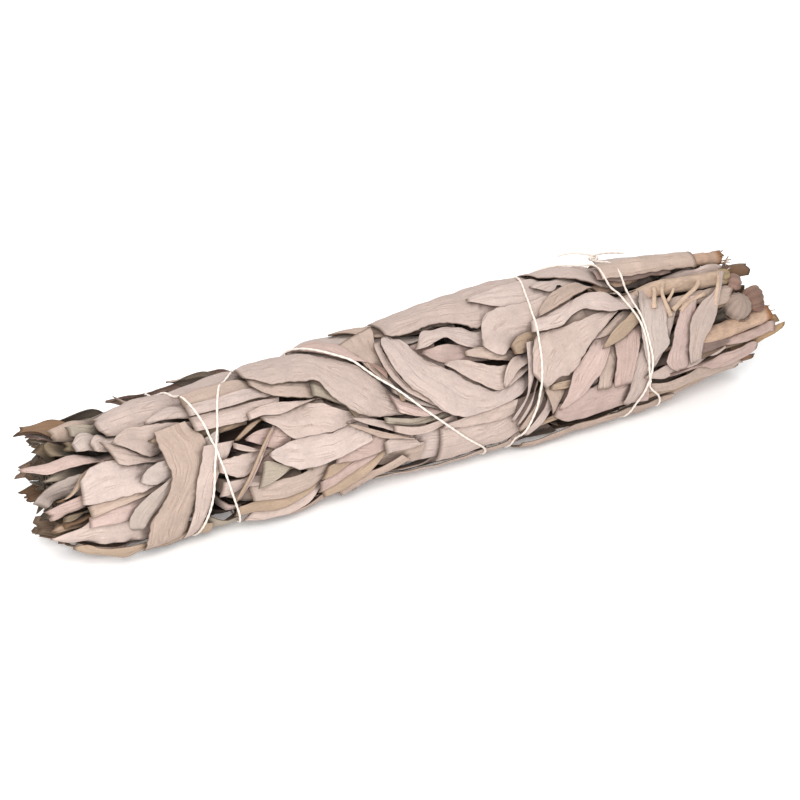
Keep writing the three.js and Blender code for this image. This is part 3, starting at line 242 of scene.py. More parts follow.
# The side that shows best, from the leaf tips to the cut ends; each leaf lies over those before it.
front_leaves = [
    leaf(17, 100, 0, 110, 6, "cupped", "brown", rise=3, torn=True),
    sided([(16, 60), (9, 62), (5, 64)], [(16, 88), (9, 92), (6, 90), (4, 80)], "olive", "cupped", torn=True,
          deep=0.4),
    sided([(14, 44), (5, 46), (2, 45), (0, 51), (-4, 59)],
          [(14, 60), (5.5, 58), (3, 58), (0, 60), (-4.5, 63)], "pink", "crowned", rise=1.0),
    leaf(18, 66, 9, 68, 5, "cupped", "olive", torn=True, deep=0.3),
    sided([(14, 14), (6, 12), (2, 9.5), (0, 9)], [(14, 38), (6, 38), (1, 33), (-3, 17)], "grey", "cupped",
          deep=0.2),
    sided([(14, 34), (9, 24), (6, 16), (3.5, 10)], [(15, 42), (10.5, 38), (8, 26), (6, 12)], "tan",
          "rolled", deep=0.2, torn=True, tuck=2),
    leaf(17, 6, 1, -7, 8, "crowned", "pink", torn=True),
    sided([(14, -16), (9, -15), (6, -14), (4, -12)], [(14, -2), (9, -1), (6, -2), (4.5, -5)], "olive",
          "cupped", deep=0.8),
    leaf(16, -20, 3, -19, 6, "open", "tan", torn=True),
    leaf(36, -26, 1, -33, 12, "crowned"),
    leaf(38, -48, 7, -46, 10, "crowned", "tan"),
    leaf(28, 96, 8, 100, 12, "cone", "beige", torn=True),
    sided([(24, 76), (16, 75), (11, 76)], [(26, 90), (18, 89), (11, 87)], "sage", "crowned", torn=True,
          deep=0.3),
    sided([(24, 54), (17, 55), (13, 57), (11, 60)], [(24, 77), (17, 77), (13, 76), (10.5, 68)], "grey",
          torn=True),
    sided([(26, -15), (20, -14.5), (15, -15.5), (10, -16)],
          [(30, 4), (22, 2), (16, -2), (13, -6), (10.5, -9)], "pink"),
    sided([(30, 7), (22, 3), (17.5, 0), (14, -4), (11, -8)],
          [(34, 13), (26, 10), (20, 9), (15, 7), (10, 5)], "beige"),
    sided([(34, 12), (26, 9.5), (20, 8.5), (15, 7.5), (11, 7), (8.5, 9)],
          [(36, 38), (28, 38), (20, 41), (15, 42), (12, 40), (9, 30)], torn=True, deep=-0.2),
    sided([(32, 46), (24, 48), (20, 50), (17, 51), (15, 53)],
          [(34, 74), (26, 76), (21, 75), (17, 70), (14.5, 60)]),
    sided([(62, 97), (46, 99), (32, 99)], [(62, 122), (46, 124), (29, 120)], "beige", deep=-0.5),
    leaf(60, 88, 19, 84, 17, "crowned", torn=True),
    leaf(64, 64, 30, 62, 10, "crowned"),
    sided([(31, 29), (27, 32), (24, 32.5), (21.5, 33), (19.5, 37)],
          [(31, 37), (27, 38), (24, 45), (20.5, 53), (17, 60)]),
    sided([(36, 40), (30, 34.5), (27.2, 36), (24, 44.5), (20.5, 52)],
          [(36, 58), (29, 60), (26, 64), (22, 60), (19.5, 54)]),
    leaf(50, 45, 29, 46, 4.5, "rolled", "tan"),
    sided([(40, 16), (32, 12.5), (28, 13), (25, 15.5), (23.8, 19)],
          [(42, 36), (36, 30), (30, 30), (26, 27), (24.5, 23)], "grey", deep=-0.3),
    sided([(30, 12), (26, 6), (23, 0), (21, -8), (20, -17), (21, -23)],
          [(33, 12), (30.3, 0), (28.5, -7), (26.5, -13), (25.3, -20), (24, -24)], "grey"),
    sided([(31, 44), (31, 36), (32, 27), (32.6, 18), (31.6, 9), (29.8, 0), (27.2, -11), (25.6, -20),
           (25, -34), (25, -46)],
          [(42, 48), (44.5, 38), (44.4, 26), (43.6, 18), (42, 10), (40.4, 2), (39, -8), (38.5, -16),
           (37.5, -30), (36, -46)], "beige", deep=-0.4, tuck=3),
    sided([(40.5, 15), (39, 5), (38.8, -6), (38.5, -16), (37.5, -30), (36, -44)],
          [(48, 14), (45, 2), (44, -10), (43, -22), (41.5, -34), (40, -46)]),
    leaf(98, -46, 64, -50, 9, "crowned", "beige"),
    leaf(122, -52, 88, -56, 9, "crowned"),
    sided([(118, -48), (108, -50), (98, -50)], [(118, -37), (109, -41), (98, -42)]),
    sided([(120, -33), (116.5, -35), (112, -39), (109, -38.5), (103, -35), (97.5, -33)],
          [(120, -4), (112, -4), (107, -2), (102, -3), (99, -4), (97.5, -14)]),
    sided([(100, -30), (95, -29), (91, -26)], [(100, -14), (94, -13), (90, -14)], "beige"),
    sided([(76, -36), (70, -44), (62, -47), (54, -47)], [(75, -31), (69.8, -37), (66, -42), (58, -41)]),
    sided([(70, -36), (64, -42), (56, -40), (51, -38)], [(70, -29), (62, -30.5), (56, -29), (51.5, -30)],
          "tan", "crowned"),
    sided([(78, -26), (70, -30), (62, -30), (56, -26)],
          [(80, -13), (72, -13), (65, -13), (60, -14), (55, -15)], "beige"),
    sided([(97, -36), (92, -45), (84, -50)], [(94, -28), (91, -32), (88, -40), (82, -44)], "beige",
          "crowned"),
    sided([(92, -27), (89, -36), (84, -42), (78, -44)], [(91, -20), (87, -25.5), (82, -31), (77, -38)],
          "tan", "crowned"),
    sided([(90.5, -19), (86.5, -25), (80, -33), (76, -38)], [(90, -13), (85, -19), (80, -23), (76, -27)],
          "pink", "crowned"),
    sided([(90, -12), (86, -15), (80, -22), (76, -24)], [(88.5, -9), (86, -12), (82, -12.5), (78, -13)],
          "tan"),
    sided([(97, -12), (92, -12.5), (86, -14), (80, -12)], [(97, 0), (93.5, 2), (88.2, 12.5), (84, 20)],
          "pink"),
    sided([(99, -14.5), (95, -14.5)], [(98, -4), (96.5, -2.5), (94.5, -5)]),
    sided([(55, -14), (51, -15), (46, -14)], [(55, -3), (52, -2.5), (47, 0)]),
    sided([(57, 4), (55, -1), (52.3, -1), (50, 2), (48.5, 6), (46, 9)],
          [(59.3, 17.3), (54.7, 18.3), (50, 18.5), (46, 18)]),
    sided([(58.8, 17), (56, 18.5), (53.5, 20.5), (51, 25)],
          [(58.8, 17.8), (57, 20.5), (53, 26.5), (51, 29.5)], tuck=2),
    sided([(60.2, 19.5), (57.5, 24), (54.7, 28)], [(62.4, 33), (60, 34), (57, 32.5), (54.5, 29.5)], "pink"),
    sided([(59, 38), (55.5, 33.5), (52.5, 30)], [(59.5, 41), (56.5, 39.5), (53, 33.5), (51.5, 30.5)],
          "tan"),
    leaf(63.6, 33, 52.2, -24, 1.0, "stalk", "pink", via=(58.4, 13), deep=-0.2),
    leaf(62.2, 31, 51.0, -22, 0.9, "stalk", "tan", via=(56.6, 11)),
    sided([(65, -5), (62.8, -8.5), (60.8, -11.5), (56.8, -13)], [(67, -3), (63, 3), (60, 10.5), (58.5, 8)],
          "sage"),
    sided([(84, -4), (76.5, -9), (74, -7.6), (70, -7), (67.9, -4.2), (64, 2.8), (61.7, 7.5), (60.2, 13)],
          [(84, 17), (80, 15.5), (76, 17.5), (72, 18), (68.7, 19.3), (66, 18.6), (62.8, 17), (60.2, 14.5)]),
    leaf(96, 92, 60, 92, 14, "crowned"),
    sided([(64, 66), (54, 67), (42, 68)], [(62, 82), (54, 81), (42, 80)], "beige"),
    sided([(60, 44.5), (58, 43.5), (56, 42), (48, 43.5), (42, 45)],
          [(61, 56.5), (56, 57), (51, 57.5), (42, 58)]),
    sided([(63, 58), (56, 57), (50, 57.5), (42, 58)], [(62, 69.5), (57.5, 68.5), (52.5, 67.6), (42, 68)]),
    sided([(86, 18), (80, 17), (74, 18), (70, 19), (67.5, 19.5), (64.5, 31.5), (63.5, 34), (61.2, 39)],
          [(86, 29), (82, 33.5), (79.7, 39), (75, 45.5), (71, 46), (68, 44), (64, 44), (60.3, 45)]),
    sided([(76, 45), (73, 43.5), (71.3, 43), (68, 40.6), (64.8, 40.7), (61.6, 43.7), (57, 42)],
          [(76, 46.5), (74, 47), (70, 48), (66, 51), (62, 51), (57, 48)]),
    sided([(79, 48), (76.4, 47.7), (73, 49), (69, 53.5), (66, 58), (63, 66), (61.5, 71.5)],
          [(79, 66), (70, 75), (62, 82)], "beige"),
    sided([(84, 36), (80, 44), (76.4, 47.7)], [(84, 40), (80.5, 58), (78, 62)], "sage"),
    sided([(105, 13), (98, 15.5), (90.7, 20), (88.2, 25.5), (85.5, 32), (83, 39), (81.3, 49), (79.8, 61),
           (76, 62.5), (72, 64.5), (67, 67), (61, 80)],
          [(105, 18), (101, 31), (98, 43), (95, 56), (91, 72), (88, 80), (84, 90), (80, 98), (72, 104),
           (65, 100), (60.5, 92)]),
    sided([(97, -2), (93.5, 1), (88.2, 11.5), (84.5, 19)], [(97, 2), (92, 9), (88, 15), (84, 21)], "beige"),
    sided([(103, -1), (99, 1.5), (95.5, 7), (91, 14), (86, 22)],
          [(103, 5), (98, 9), (94, 15), (91, 19.5), (85.2, 24)]),
    sided([(108, 3), (105, 3.5), (102, 5.5), (98, 9.5), (95, 13)],
          [(108, 8.5), (105, 9), (100, 12.5), (95, 17)], "sage"),
    sided([(110, -3), (106, -3), (102, -2), (97, 5)], [(110, 3), (106, 3), (102, 5), (97, 10)]),
    sided([(112, 8), (107, 9), (103, 13), (99.5, 18)],
          [(112, 10.5), (108.4, 15), (104.5, 20), (101.5, 26), (98, 36)], "pink"),
    sided([(111.6, 11.5), (108.4, 16), (104.6, 21), (101.8, 27.5), (99.3, 34.5)],
          [(111.7, 12.5), (106.4, 22.5), (103.3, 29.5), (101, 36), (99.5, 41)], "grey"),
    leaf(108, 88, 79, 115, 9, "flat", "grey", rise=0.8),
    leaf(118, 100, 92, 108, 10, "flat", "beige"),
    sided([(98.5, 43), (95, 60), (94, 70), (92, 80), (91, 95)],
          [(100, 45), (99.5, 60), (100, 75), (102, 90), (103, 100)], "beige"),
    sided([(95, 64), (91.5, 70), (88, 80), (84, 92), (82, 100)],
          [(94.8, 66), (93.5, 72), (92, 82), (91, 95), (86, 112), (79, 115)], "pink", rise=1.6),
    sided([(118, 8), (111.5, 13), (106.4, 24), (103, 32), (100.5, 42), (99, 55), (99, 70), (100, 80)],
          [(118, 10), (111, 18.5), (105, 32.5), (102.4, 44), (101.2, 62), (101.5, 77), (103, 85)]),
    sided([(146, -58), (120, -58), (94, -56)], [(140, -40), (128, -42), (112, -45), (94, -44)], "beige"),
    sided([(140, -26), (134, -34), (126, -38), (119, -41), (112, -41)],
          [(137, 3), (131, 3), (126, -3), (118, -7), (111.5, -5)]),
    sided([(127, -7.5), (118, -7.5), (111.5, -4)], [(128, 3), (120, 1), (113, -1)]),
    sided([(139.5, 12), (137, 8), (131.5, 5), (127, 3), (120, 1), (114.5, 5), (111.5, 12), (110, 18),
           (107.5, 25), (105, 32), (102.4, 43.6), (101.5, 51), (101.2, 62), (101.5, 77), (103.4, 85)],
          [(139.8, 28), (136, 25), (131, 17), (128.5, 14), (125.5, 19), (120, 29.5), (117.8, 36.5),
           (115, 43), (112.2, 49.8), (110, 59.5), (108.7, 64), (106.3, 79), (106, 88)]),
    sided([(122, 42), (117, 44), (113, 49), (110.5, 57)], [(122, 58), (118, 59), (115, 60), (111.5, 60)],
          "pink", "cupped"),
    sided([(132, 48), (127, 50), (123, 54), (121, 60), (119.5, 66), (116, 64), (112, 60), (109.5, 62)],
          [(131, 66), (128.3, 64), (126, 71), (122, 76), (119.5, 74), (116, 73.5), (114, 78), (112, 70)]),
    leaf(136, 98, 106, 103, 12, "crowned"),
    sided([(146, 76), (138, 74), (131, 68), (128.5, 65), (126.5, 72.5), (122, 78.5), (118, 82), (114, 79.5),
           (110, 80), (106.5, 80), (104.5, 86)],
          [(150, 112), (138, 118), (122, 118), (112, 118), (104, 112)]),
    sided([(136, 20), (131, 15), (128.5, 15.5), (125.5, 20.5), (123, 26), (120, 31), (118, 38), (115, 44)],
          [(136, 32), (131, 32), (126, 36.5), (122, 43), (118.5, 45), (115.5, 45)]),
    sided([(134, 35), (129, 39), (124, 44.5), (122, 46.5)],
          [(135, 44), (131, 46), (127.5, 50), (124, 50), (122, 49)], "beige", "crowned"),
    sided([(141, 29), (136, 27), (134.5, 24), (132.5, 20), (130.5, 16)],
          [(142, 38), (136, 36.5), (133, 33), (131.3, 27), (130.3, 18)]),
    leaf(156, 88, 131, 94, 16, "flat"),
    sided([(152, 56), (146, 50), (141, 50), (137, 47), (133, 38), (130, 42), (128.5, 47), (127.5, 50)],
          [(152, 76), (144, 76), (139, 76), (134, 76), (131, 70), (130, 64), (128.2, 54)]),
    sided([(146, 40), (140, 37), (135.8, 37.5)], [(146, 52), (142, 53), (138.5, 50), (135.3, 44)], "tan",
          "crowned"),
    leaf(150, -32, 139, -38, 5, "rolled", "brown", deep=2.5),
    leaf(152, -26, 140, -30, 3, "rolled", "tan", deep=1.5),
    sided([(182, -58), (160, -58), (138, -56)], [(182, -40), (166, -39), (156, -41), (140, -47)], "beige",
          "crowned"),
    sided([(139.5, 27), (138.7, 16), (137.5, 6), (134.8, -5), (133, -13)],
          [(141.5, 27), (140.3, 16), (138.8, 5), (135.9, -6), (133.8, -14)], "pale", "crowned"),
    sided([(143, 24), (140.8, 12), (139, 2), (136.4, -8), (134.4, -16)],
          [(146, 24), (142.8, 12), (140.4, 2), (137.8, -8), (135.4, -18)], "pale", "crowned"),
    sided([(145, 20), (142.5, 8), (140.3, -4), (137.8, -14), (135.5, -22)],
          [(150, 20), (146, 8), (143.4, -4), (140.5, -16), (137, -28)], "beige"),
    sided([(145.5, 2), (143, -10), (140.4, -22), (137.5, -32)],
          [(150, 2), (147, -12), (143.5, -22), (140, -34)]),
    sided([(172, -34), (166, -32.5), (157, -36), (150, -28), (147, -20)],
          [(172, -10), (168, -8), (165, -6), (161, -4), (157, -4), (153, -9.5), (148, -13)], "pink"),
    sided([(144, 6), (143.8, 4), (144.8, -4), (145.5, -12), (146, -16)],
          [(152, 6), (150.3, 0), (149, -5), (147.5, -11), (146.6, -16)], "beige"),
    sided([(152, 3), (147.5, 3), (145, 4.5)], [(152, 8), (147.5, 9), (145.5, 7.5)], "tan", deep=1.2),
    sided([(163, 20), (161.5, 10), (160.5, 0), (160, -6)], [(167, 20), (166.5, 10), (165.4, 0), (165, -8)],
          "beige"),
    sided([(176, 18), (174, 8), (172.5, 0), (171.5, -10), (170.5, -18), (169.5, -27)],
          [(186, 24), (183, 10), (180, -2), (178, -14), (176, -24), (172, -32)]),
    sided([(169, 36), (166.5, 24), (166.2, 15), (165.8, 7), (165, -2), (165.4, -7)],
          [(179, 36), (175, 20), (173.5, 12), (172, 4), (171.3, -3), (171, -8)], "pink"),
    sided([(160, 30), (156.5, 22), (154.3, 17), (152.2, 11), (150.8, 4), (150, -3), (147.5, -12)],
          [(166, 28), (163.5, 16), (161.5, 8), (159, 2), (156.5, -4), (152.5, -10), (148.3, -13.5)],
          "pink"),
    leaf(178, 50, 160, 33, 5, "crowned", "beige"),
    leaf(176, 42, 162, 26, 4, "crowned", "tan"),
    sided([(166, 42), (160, 33), (156.3, 24), (154, 18), (151.8, 12), (148.5, 14), (146, 10), (143.5, 7)],
          [(166, 52), (158, 49), (152, 48), (146, 49), (143, 45), (141.5, 36), (140.5, 28), (140, 20)]),
    leaf(176, 94, 150, 92, 12, "crowned"),
    sided([(176, 50), (168, 50), (163, 54), (161.5, 57.5), (157, 55), (152, 47.5), (146, 49), (143, 49.5)],
          [(177, 64), (168, 68), (164, 69.5), (160, 67), (156, 63.5), (151, 60.5), (146.5, 59), (144, 58)]),
    sided([(178, 73), (167, 73), (164, 71), (160, 68.5), (157, 65), (151, 61.5), (146.8, 59.5)],
          [(180, 84), (168.7, 84), (164, 82), (160, 80), (155, 77), (150, 69), (147.2, 62)], "beige"),
    sided([(178, 46), (176, 30), (176, 12), (177, 0)],
          [(187, 48), (184.5, 34), (183.8, 22), (184.5, 14), (181, 8), (179, 2)], "grey"),
    leaf(198, -5, 176, -11, 8, "flat"),
    sided([(188, 30), (186.5, 24), (185.5, 15), (184, 8), (182.8, 1), (184, -6), (187, -12)],
          [(194, 30), (192.5, 22), (191.5, 14), (190.8, 4), (190.6, -6), (190.5, -12)], "pink"),
    leaf(186, 96, 170, 106, 10, "crowned", "grey"),
    sided([(176, 66), (188, 69), (200, 68), (208, 68)], [(176, 82), (190, 80), (203, 78), (212, 77)],
          deep=0.2, tuck=3),
]

# A leaf base that wraps the first stem, and the strips that lie over the deeper stems at the cut end.
over_leaves = [
    sided([(207.5, 63), (204.5, 51), (202, 44.5), (200.5, 43), (196.5, 39), (194, 33), (191.2, 27),
           (190.7, 15), (190.2, 7), (190.4, -4), (191, -8)],
          [(209, 62), (206, 50), (204.3, 43), (202.8, 35), (201, 26.5), (199.2, 18), (196.2, 12),
           (195.2, 6), (194.8, -2), (193.5, -7)], tuck=0, deep=-1.2),
    sided([(176, 80), (190, 79), (203, 78)], [(176, 101), (190, 100), (203, 99)], "beige", "rolled",
          blunt=True, deep=-1.5, tuck=4),
    sided([(180, 98), (192, 99), (200, 98)], [(180, 112), (192, 112), (203, 110)], "grey", "crowned",
          blunt=True, deep=-0.3, tuck=4),
    leaf(178, 86, 196, 83, 5, "crowned", "pink", blunt=True, deep=-0.6),
    sided([(158, 95), (165, 86), (171, 79), (178, 76), (185, 77), (190, 83)],
          [(156, 136), (164, 139), (172, 138), (180, 134), (187, 126)], blunt=True, deep=0.6, tuck=3),
]
end_strips = [
    sided([(191, -5), (195.5, -5), (199.8, -7), (201.6, -5.5), (206.3, -7.5), (211.5, -11), (215, -12),
           (224, -16)], [(191, 8), (195.6, 8.5), (200, 4.5), (205, -1), (210, -3), (216.5, -3), (224, -4)],
          "pink", blunt=True, most=0.8, tuck=3),
    sided([(188, -17), (197, -18), (200, -25), (205, -30), (210, -31), (214, -31), (217, -27)],
          [(188, -14), (200, -16), (203.5, -13.5), (208, -14.5), (212, -14), (215.5, -14), (217.5, -20)],
          "pink", most=0.6, deep=0.1, tuck=3),
    sided([(188, -14), (195.5, -14), (200, -14.5), (203, -12), (207, -13), (213, -14)],
          [(188, -5), (195.5, -6), (200, -8), (206, -9), (212, -12)], "tan", "crowned", most=0.8, deep=0.6,
          tuck=3),
    sided([(205, -10), (215, -12), (227, -13)], [(205, 1), (215, 2), (225, 1)], "ochre", "crowned",
          blunt=True, most=1.0, deep=1.2, tuck=2),
    sided([(210, -26), (219, -27), (228, -26)], [(210, -12), (219, -14), (229, -17)], "ochre", "crowned",
          blunt=True, most=1.0, deep=0.9, tuck=2),
    sided([(176, -28), (184, -30), (192, -32), (202, -37), (209, -42), (214, -42)],
          [(176, -18), (184, -21.5), (190, -21), (198, -19), (206, -30), (212, -33)], "beige", blunt=True,
          most=0.8, deep=0.4, tuck=3),
    sided([(206, -50), (211, -49), (217, -46)], [(206, -36), (211, -36), (218, -38)], "brown", "crowned",
          blunt=True, most=1.0, deep=0.5, tuck=3),
    sided([(178, -41), (188, -42), (196, -47), (206, -52)],
          [(178, -30), (190, -32), (200, -37), (208, -42)], "tan", "crowned", blunt=True, most=0.8,
          deep=0.5, tuck=3),
    sided([(174, -58), (188, -60), (200, -63), (213, -60)],
          [(174, -40), (186, -42), (198, -47), (214, -50)], "beige", "crowned", blunt=True, most=0.8,
          deep=0.2, tuck=3),
    sided([(196, -36), (208, -36), (222, -34)], [(196, -20), (208, -20), (224, -22)], "tan", "crowned",
          blunt=True, most=1.2, deep=2.0, tuck=3),
    sided([(174, -80), (190, -82), (212, -80)], [(174, -60), (190, -62), (214, -60)], "beige", "crowned",
          blunt=True, most=1.2, deep=0.4, tuck=3),
]

# Pieces at the cut end, which point out along the stems: blunt leaf bases and stripped halves of stalks.
end_leaves = [
    leaf(184, 104, 206, 104, 9, "crowned", "grey", blunt=True),
    leaf(176, 86, 199, 90, 11, "crowned", "grey", blunt=True),
    leaf(190, 74, 212, 73, 3.6, "rolled", "pink", blunt=True),
    leaf(186, 44, 210, 44, 7, "crowned", "beige", blunt=True, deep=1.0),
]
end_draw = np.random.default_rng(61)
for deep, around, reach in ((0.6, 9, 214), (3.2, 11, 217), (6.0, 9, 215), (8.8, 6, 213), (11.5, 4, 210)):
    for k in range(around):
        span = (112, 300) if deep < 1 else (0, 360)
        angle = span[0] + (span[1] - span[0]) * (k + 0.5 * end_draw.random()) / around
        end_leaves.append(leaf(
            188, angle, reach + 8 * end_draw.random() - 3, angle + 8 * end_draw.random() - 4,
            6 + 4 * end_draw.random(), str(end_draw.choice(["crowned", "rolled", "tube"])),
            str(end_draw.choice(["beige", "tan", "ochre", "sage", "brown"])), deep=deep, blunt=True))

# Back and underside, which the photograph doesn't show: rows of like leaves, with a few that cross over.
rear_draw = np.random.default_rng(52)
rear_leaves = []
for row, s in enumerate(np.arange(30.0, 218.0, 15.0)):
    for angle in np.arange(108.0 + 13 * (row % 2), 302.0, 25.0):
        length = 44 + 34 * rear_draw.random()
        skew = (rear_draw.random() - 0.5) * (90 if rear_draw.random() < 0.25 else 30)
        at = s + 11 * (rear_draw.random() - 0.5)
        tip = max(at - length, 2.0 + 8 * rear_draw.random())
        rear_leaves.append(leaf(
            at, angle + 10 * (rear_draw.random() - 0.5), tip, angle + skew, 11 + 8 * rear_draw.random(),
            str(rear_draw.choice(["flat", "flat", "flat", "crowned"])),
            str(rear_draw.choice(["pale", "pale", "beige", "grey", "pink", "sage"])),
            deep=0.5 * rear_draw.random(), torn=bool(rear_draw.random() < 0.35)))

# Leaf ends inside the open end of the bundle, at every depth.
tip_draw = np.random.default_rng(7)
tip_leaves = []
for deep, around in ((1.5, 16), (4.0, 15), (7.0, 11), (10.0, 7)):
    for k in range(around):
        angle = 360 * (k + 0.6 * tip_draw.random()) / around
        tip = 2 + 9 * tip_draw.random() + 0.2 * deep
        tip_leaves.append(leaf(
            tip + 26, angle, tip, angle + 30 * (tip_draw.random() - 0.5), 9 + 5 * tip_draw.random(),
            str(tip_draw.choice(["cupped", "open", "tube", "crowned", "rolled"])),
            str(tip_draw.choice(["olive", "sage", "sage", "grey", "tan"])), deep=deep, torn=True))

# Leaves under the outer ones, which close the gaps between them: a pale layer, and below it a layer in
# darker tones that are painted shade deep in the gaps.
under_draw = np.random.default_rng(19)
under_leaves = []
layers = ((0.9, 1.2, ["pale", "beige", "pink", "grey"]), (3.0, 2.0, ["tan", "sage", "olive"]))
for layer_deep, spread, choice in layers:
    for row, s in enumerate(np.arange(26.0, 212.0, 9.0)):
        for angle in np.arange(-180.0 + 13 * (row % 2), 180.0, 25.0):
            length = 36 + 16 * under_draw.random()
            under_leaves.append(leaf(
                s, angle + 8 * (under_draw.random() - 0.5), max(s - length, 5.0),
                angle + 24 * (under_draw.random() - 0.5), 11 + 5 * under_draw.random(),
                str(under_draw.choice(["flat", "flat", "crowned"])), str(under_draw.choice(choice)),
                deep=layer_deep + spread * under_draw.random(), coarse=True))

# Pits between the outer leaves, given by their middle and half sizes along and round. The leaves under the
# outer ones keep far below the surface there.
pits = [
    (56, 36, 8, 6), (67, 54, 9, 4.5), (87.5, 91.5, 2.5, 3), (119.5, 60, 1.8, 4.5), (127.5, 40, 5, 3.5),
    (149, 6, 2, 5), (158.5, 83.5, 1.8, 1.8), (169, 70.5, 3, 2.2), (160, 32, 4, 2.5), (192.5, 53, 6, 2.5),
    (190, -18.5, 5.5, 2.5), (158, -34, 9, 2.5), (30, 44.5, 1.2, 2.5), (41, 47.5, 2, 1.5),
    (17, 45.5, 6.5, 2.5), (21, -42.5, 11, 2), (8, -10, 2.5, 5), (3, 34, 3, 4), (74, -30, 4, 2),
    (103, 38, 7, 1.3), (84, 42, 3, 2), (57.5, 24, 3.5, 2.2), (51, 22, 2.5, 1.5), (52.5, -1.5, 2.5, 1.5),
    (64, -9.5, 2, 1.5), (67.5, -11, 2, 1.5), (73.5, -12.5, 6, 1.2), (88.5, 23.5, 2.5, 2), (95, 2, 3, 2.5),
    (100, 14.5, 5, 1.2), (111.5, 7.5, 4.5, 2), (98, -15.5, 5, 1.2), (130, 108, 2.5, 4), (123.5, 50, 2, 3),
    (126, 75, 5, 1.5), (143.5, -34, 4.5, 6), (134, 35, 2.5, 5), (161, 29, 2, 2), (171.5, 49, 1.5, 4),
    (172, 4, 1.5, 5), (115, -43, 4, 2), (184.2, 30, 1.2, 7), (186, 19, 1.3, 3), (195, 40, 3, 2.5),
    (184, 55, 2, 4), (179, 84, 4, 3), (164.8, -4, 1, 4),
]
pit_depth = 7.0


def in_pit(s, angle, spread):
    """How far places lie inside the pits: one in a pit's middle, falling to nothing at its spread edge."""
    deepest = np.zeros(np.broadcast(s, angle).shape)
    for at_s, at_angle, half_s, half_angle in pits:
        out = np.hypot((s - at_s) / half_s, degrees_off(angle, at_angle) / half_angle)
        deepest = np.maximum(deepest, smooth_step((spread + 0.25 - out) / 0.5))
    return deepest


# Way of the thread round the bundle, by angle and place: from the knot to the leaf tips and back.
thread_route = np.array([
    (112, 176), (92, 177.5), (76, 178), (50, 177.3), (25, 177.6), (0, 178.3), (-22, 176.8), (-36, 175),
    (-60, 173), (-90, 171), (-130, 168), (-175, 163), (-215, 157), (-240, 152), (-260, 149.8), (-284, 147),
    (-314, 144.5), (-340, 142.5), (-362, 141), (-374, 139.6), (-402, 137), (-420, 136.3), (-450, 136),
    (-480, 134), (-515, 122), (-545, 104), (-578, 84), (-608, 68), (-634, 56), (-654, 51.3), (-678, 48),
    (-704, 45), (-734, 43.7), (-760, 41.5), (-785, 40.5), (-850, 39.5), (-895, 40), (-940, 40.8),
    (-980, 41.5), (-1008, 43.2), (-1037, 45.3), (-1061, 46.7), (-1092, 49.5), (-1118, 52.5), (-1145, 55),
    (-1170, 57), (-1205, 61), (-1250, 67), (-1295, 74), (-1335, 81), (-1359, 87.6), (-1371, 91.6),
    (-1393, 97), (-1422, 106), (-1453, 117.5), (-1481, 127.5), (-1505, 128.5), (-1530, 129), (-1562, 132),
    (-1600, 140), (-1640, 150), (-1670, 161), (-1696, 171), (-1721, 172.8), (-1738, 174.6), (-1763, 176.4),
    (-1787, 177), (-1810, 177.6), (-1820, 178.6), (-1835, 183), (-1860, 185), (-1890, 185), (-1930, 184),
    (-1975, 182), (-2020, 179.5), (-2048, 177),
])


def thread_s(angle):
    """Place along of the thread at an angle: a cubic between the route's points, whose slope at each is
    that of the straight line between its neighbours. Beyond an end it keeps the end's place."""
    at, s = -thread_route[:, 0], thread_route[:, 1]
    slope = np.gradient(s, at)
    x = np.clip(-angle, at[0], at[-1])
    k = np.clip(np.searchsorted(at, x) - 1, 0, len(at) - 2)
    width = at[k + 1] - at[k]
    t = (x - at[k]) / width
    return ((2 * t ** 3 - 3 * t ** 2 + 1) * s[k] + (t ** 3 - 2 * t ** 2 + t) * width * slope[k]
            + (3 * t ** 2 - 2 * t ** 3) * s[k + 1] + (t ** 3 - t ** 2) * width * slope[k + 1])


# Maps of what is laid, in rows of half a millimetre along and columns of a degree round: the radius under
# the lowest leaf of each cell, the radius over the highest, and how far the thread presses the leaves in.
map_s_step, map_s_start, map_rows, map_columns = 0.5, -20.0, 560, 360
ceiling = np.full((map_rows, map_columns), 1e3)
surface = np.zeros((map_rows, map_columns))
pinch = np.zeros((map_rows, map_columns))
pinch_depth, pinch_reach, pinch_side = 0.7, 3.5, 8.0


def map_cells(s, angle):
    """Row and column of the maps that hold a place: s over the row step and the degrees, both rounded."""
    i = np.clip(np.rint((s - map_s_start) / map_s_step).astype(int), 0, map_rows - 1)
    return i, np.rint(angle).astype(int) % map_columns


def cells_round(grid, s, angle, rows=1, columns=1):
    """A map's values at nine cells: each place's own and the eight some rows and columns away."""
    i, j = map_cells(s, angle)
    return np.array([grid[np.clip(i + di, 0, map_rows - 1), (j + dj) % map_columns]
                     for di in (-rows, 0, rows) for dj in (-columns, 0, columns)])


thread_run = np.arange(thread_route[0, 0], thread_route[-1, 0], -1.0)
for ds in np.arange(-pinch_side, pinch_side + 0.1, map_s_step):
    cells = map_cells(thread_s(thread_run) + ds, thread_run)
    np.maximum.at(pinch, cells, pinch_depth * math.exp(-(ds / pinch_reach) ** 2))


def evened(values):
    """A quarter of each row's two neighbours and half of the row; an end row is its own neighbour."""
    beside = np.pad(values, [(1, 1)] + [(0, 0)] * (values.ndim - 1), mode="edge")
    return (beside[:-2] + 2 * values + beside[2:]) / 4


def blurred(grid):
    """A grid evened along both of its sides."""
    return evened(evened(grid).T).T


def finer(grid, times):
    """A grid read at more places by straight lines between its values."""
    for axis in (0, 1):
        n = grid.shape[axis]
        at = np.linspace(0, n - 1, (n - 1) * times + 1)
        low = np.minimum(at.astype(int), n - 2)
        part = (at - low).reshape([-1, 1] if axis == 0 else [1, -1])
        grid = np.take(grid, low, axis) * (1 - part) + np.take(grid, low + 1, axis) * part
    return grid


def tent(x):
    """Straight-sided wave between -1 and 1 with a period of one."""
    return 4 * np.abs((x % 1) - 0.5) - 1


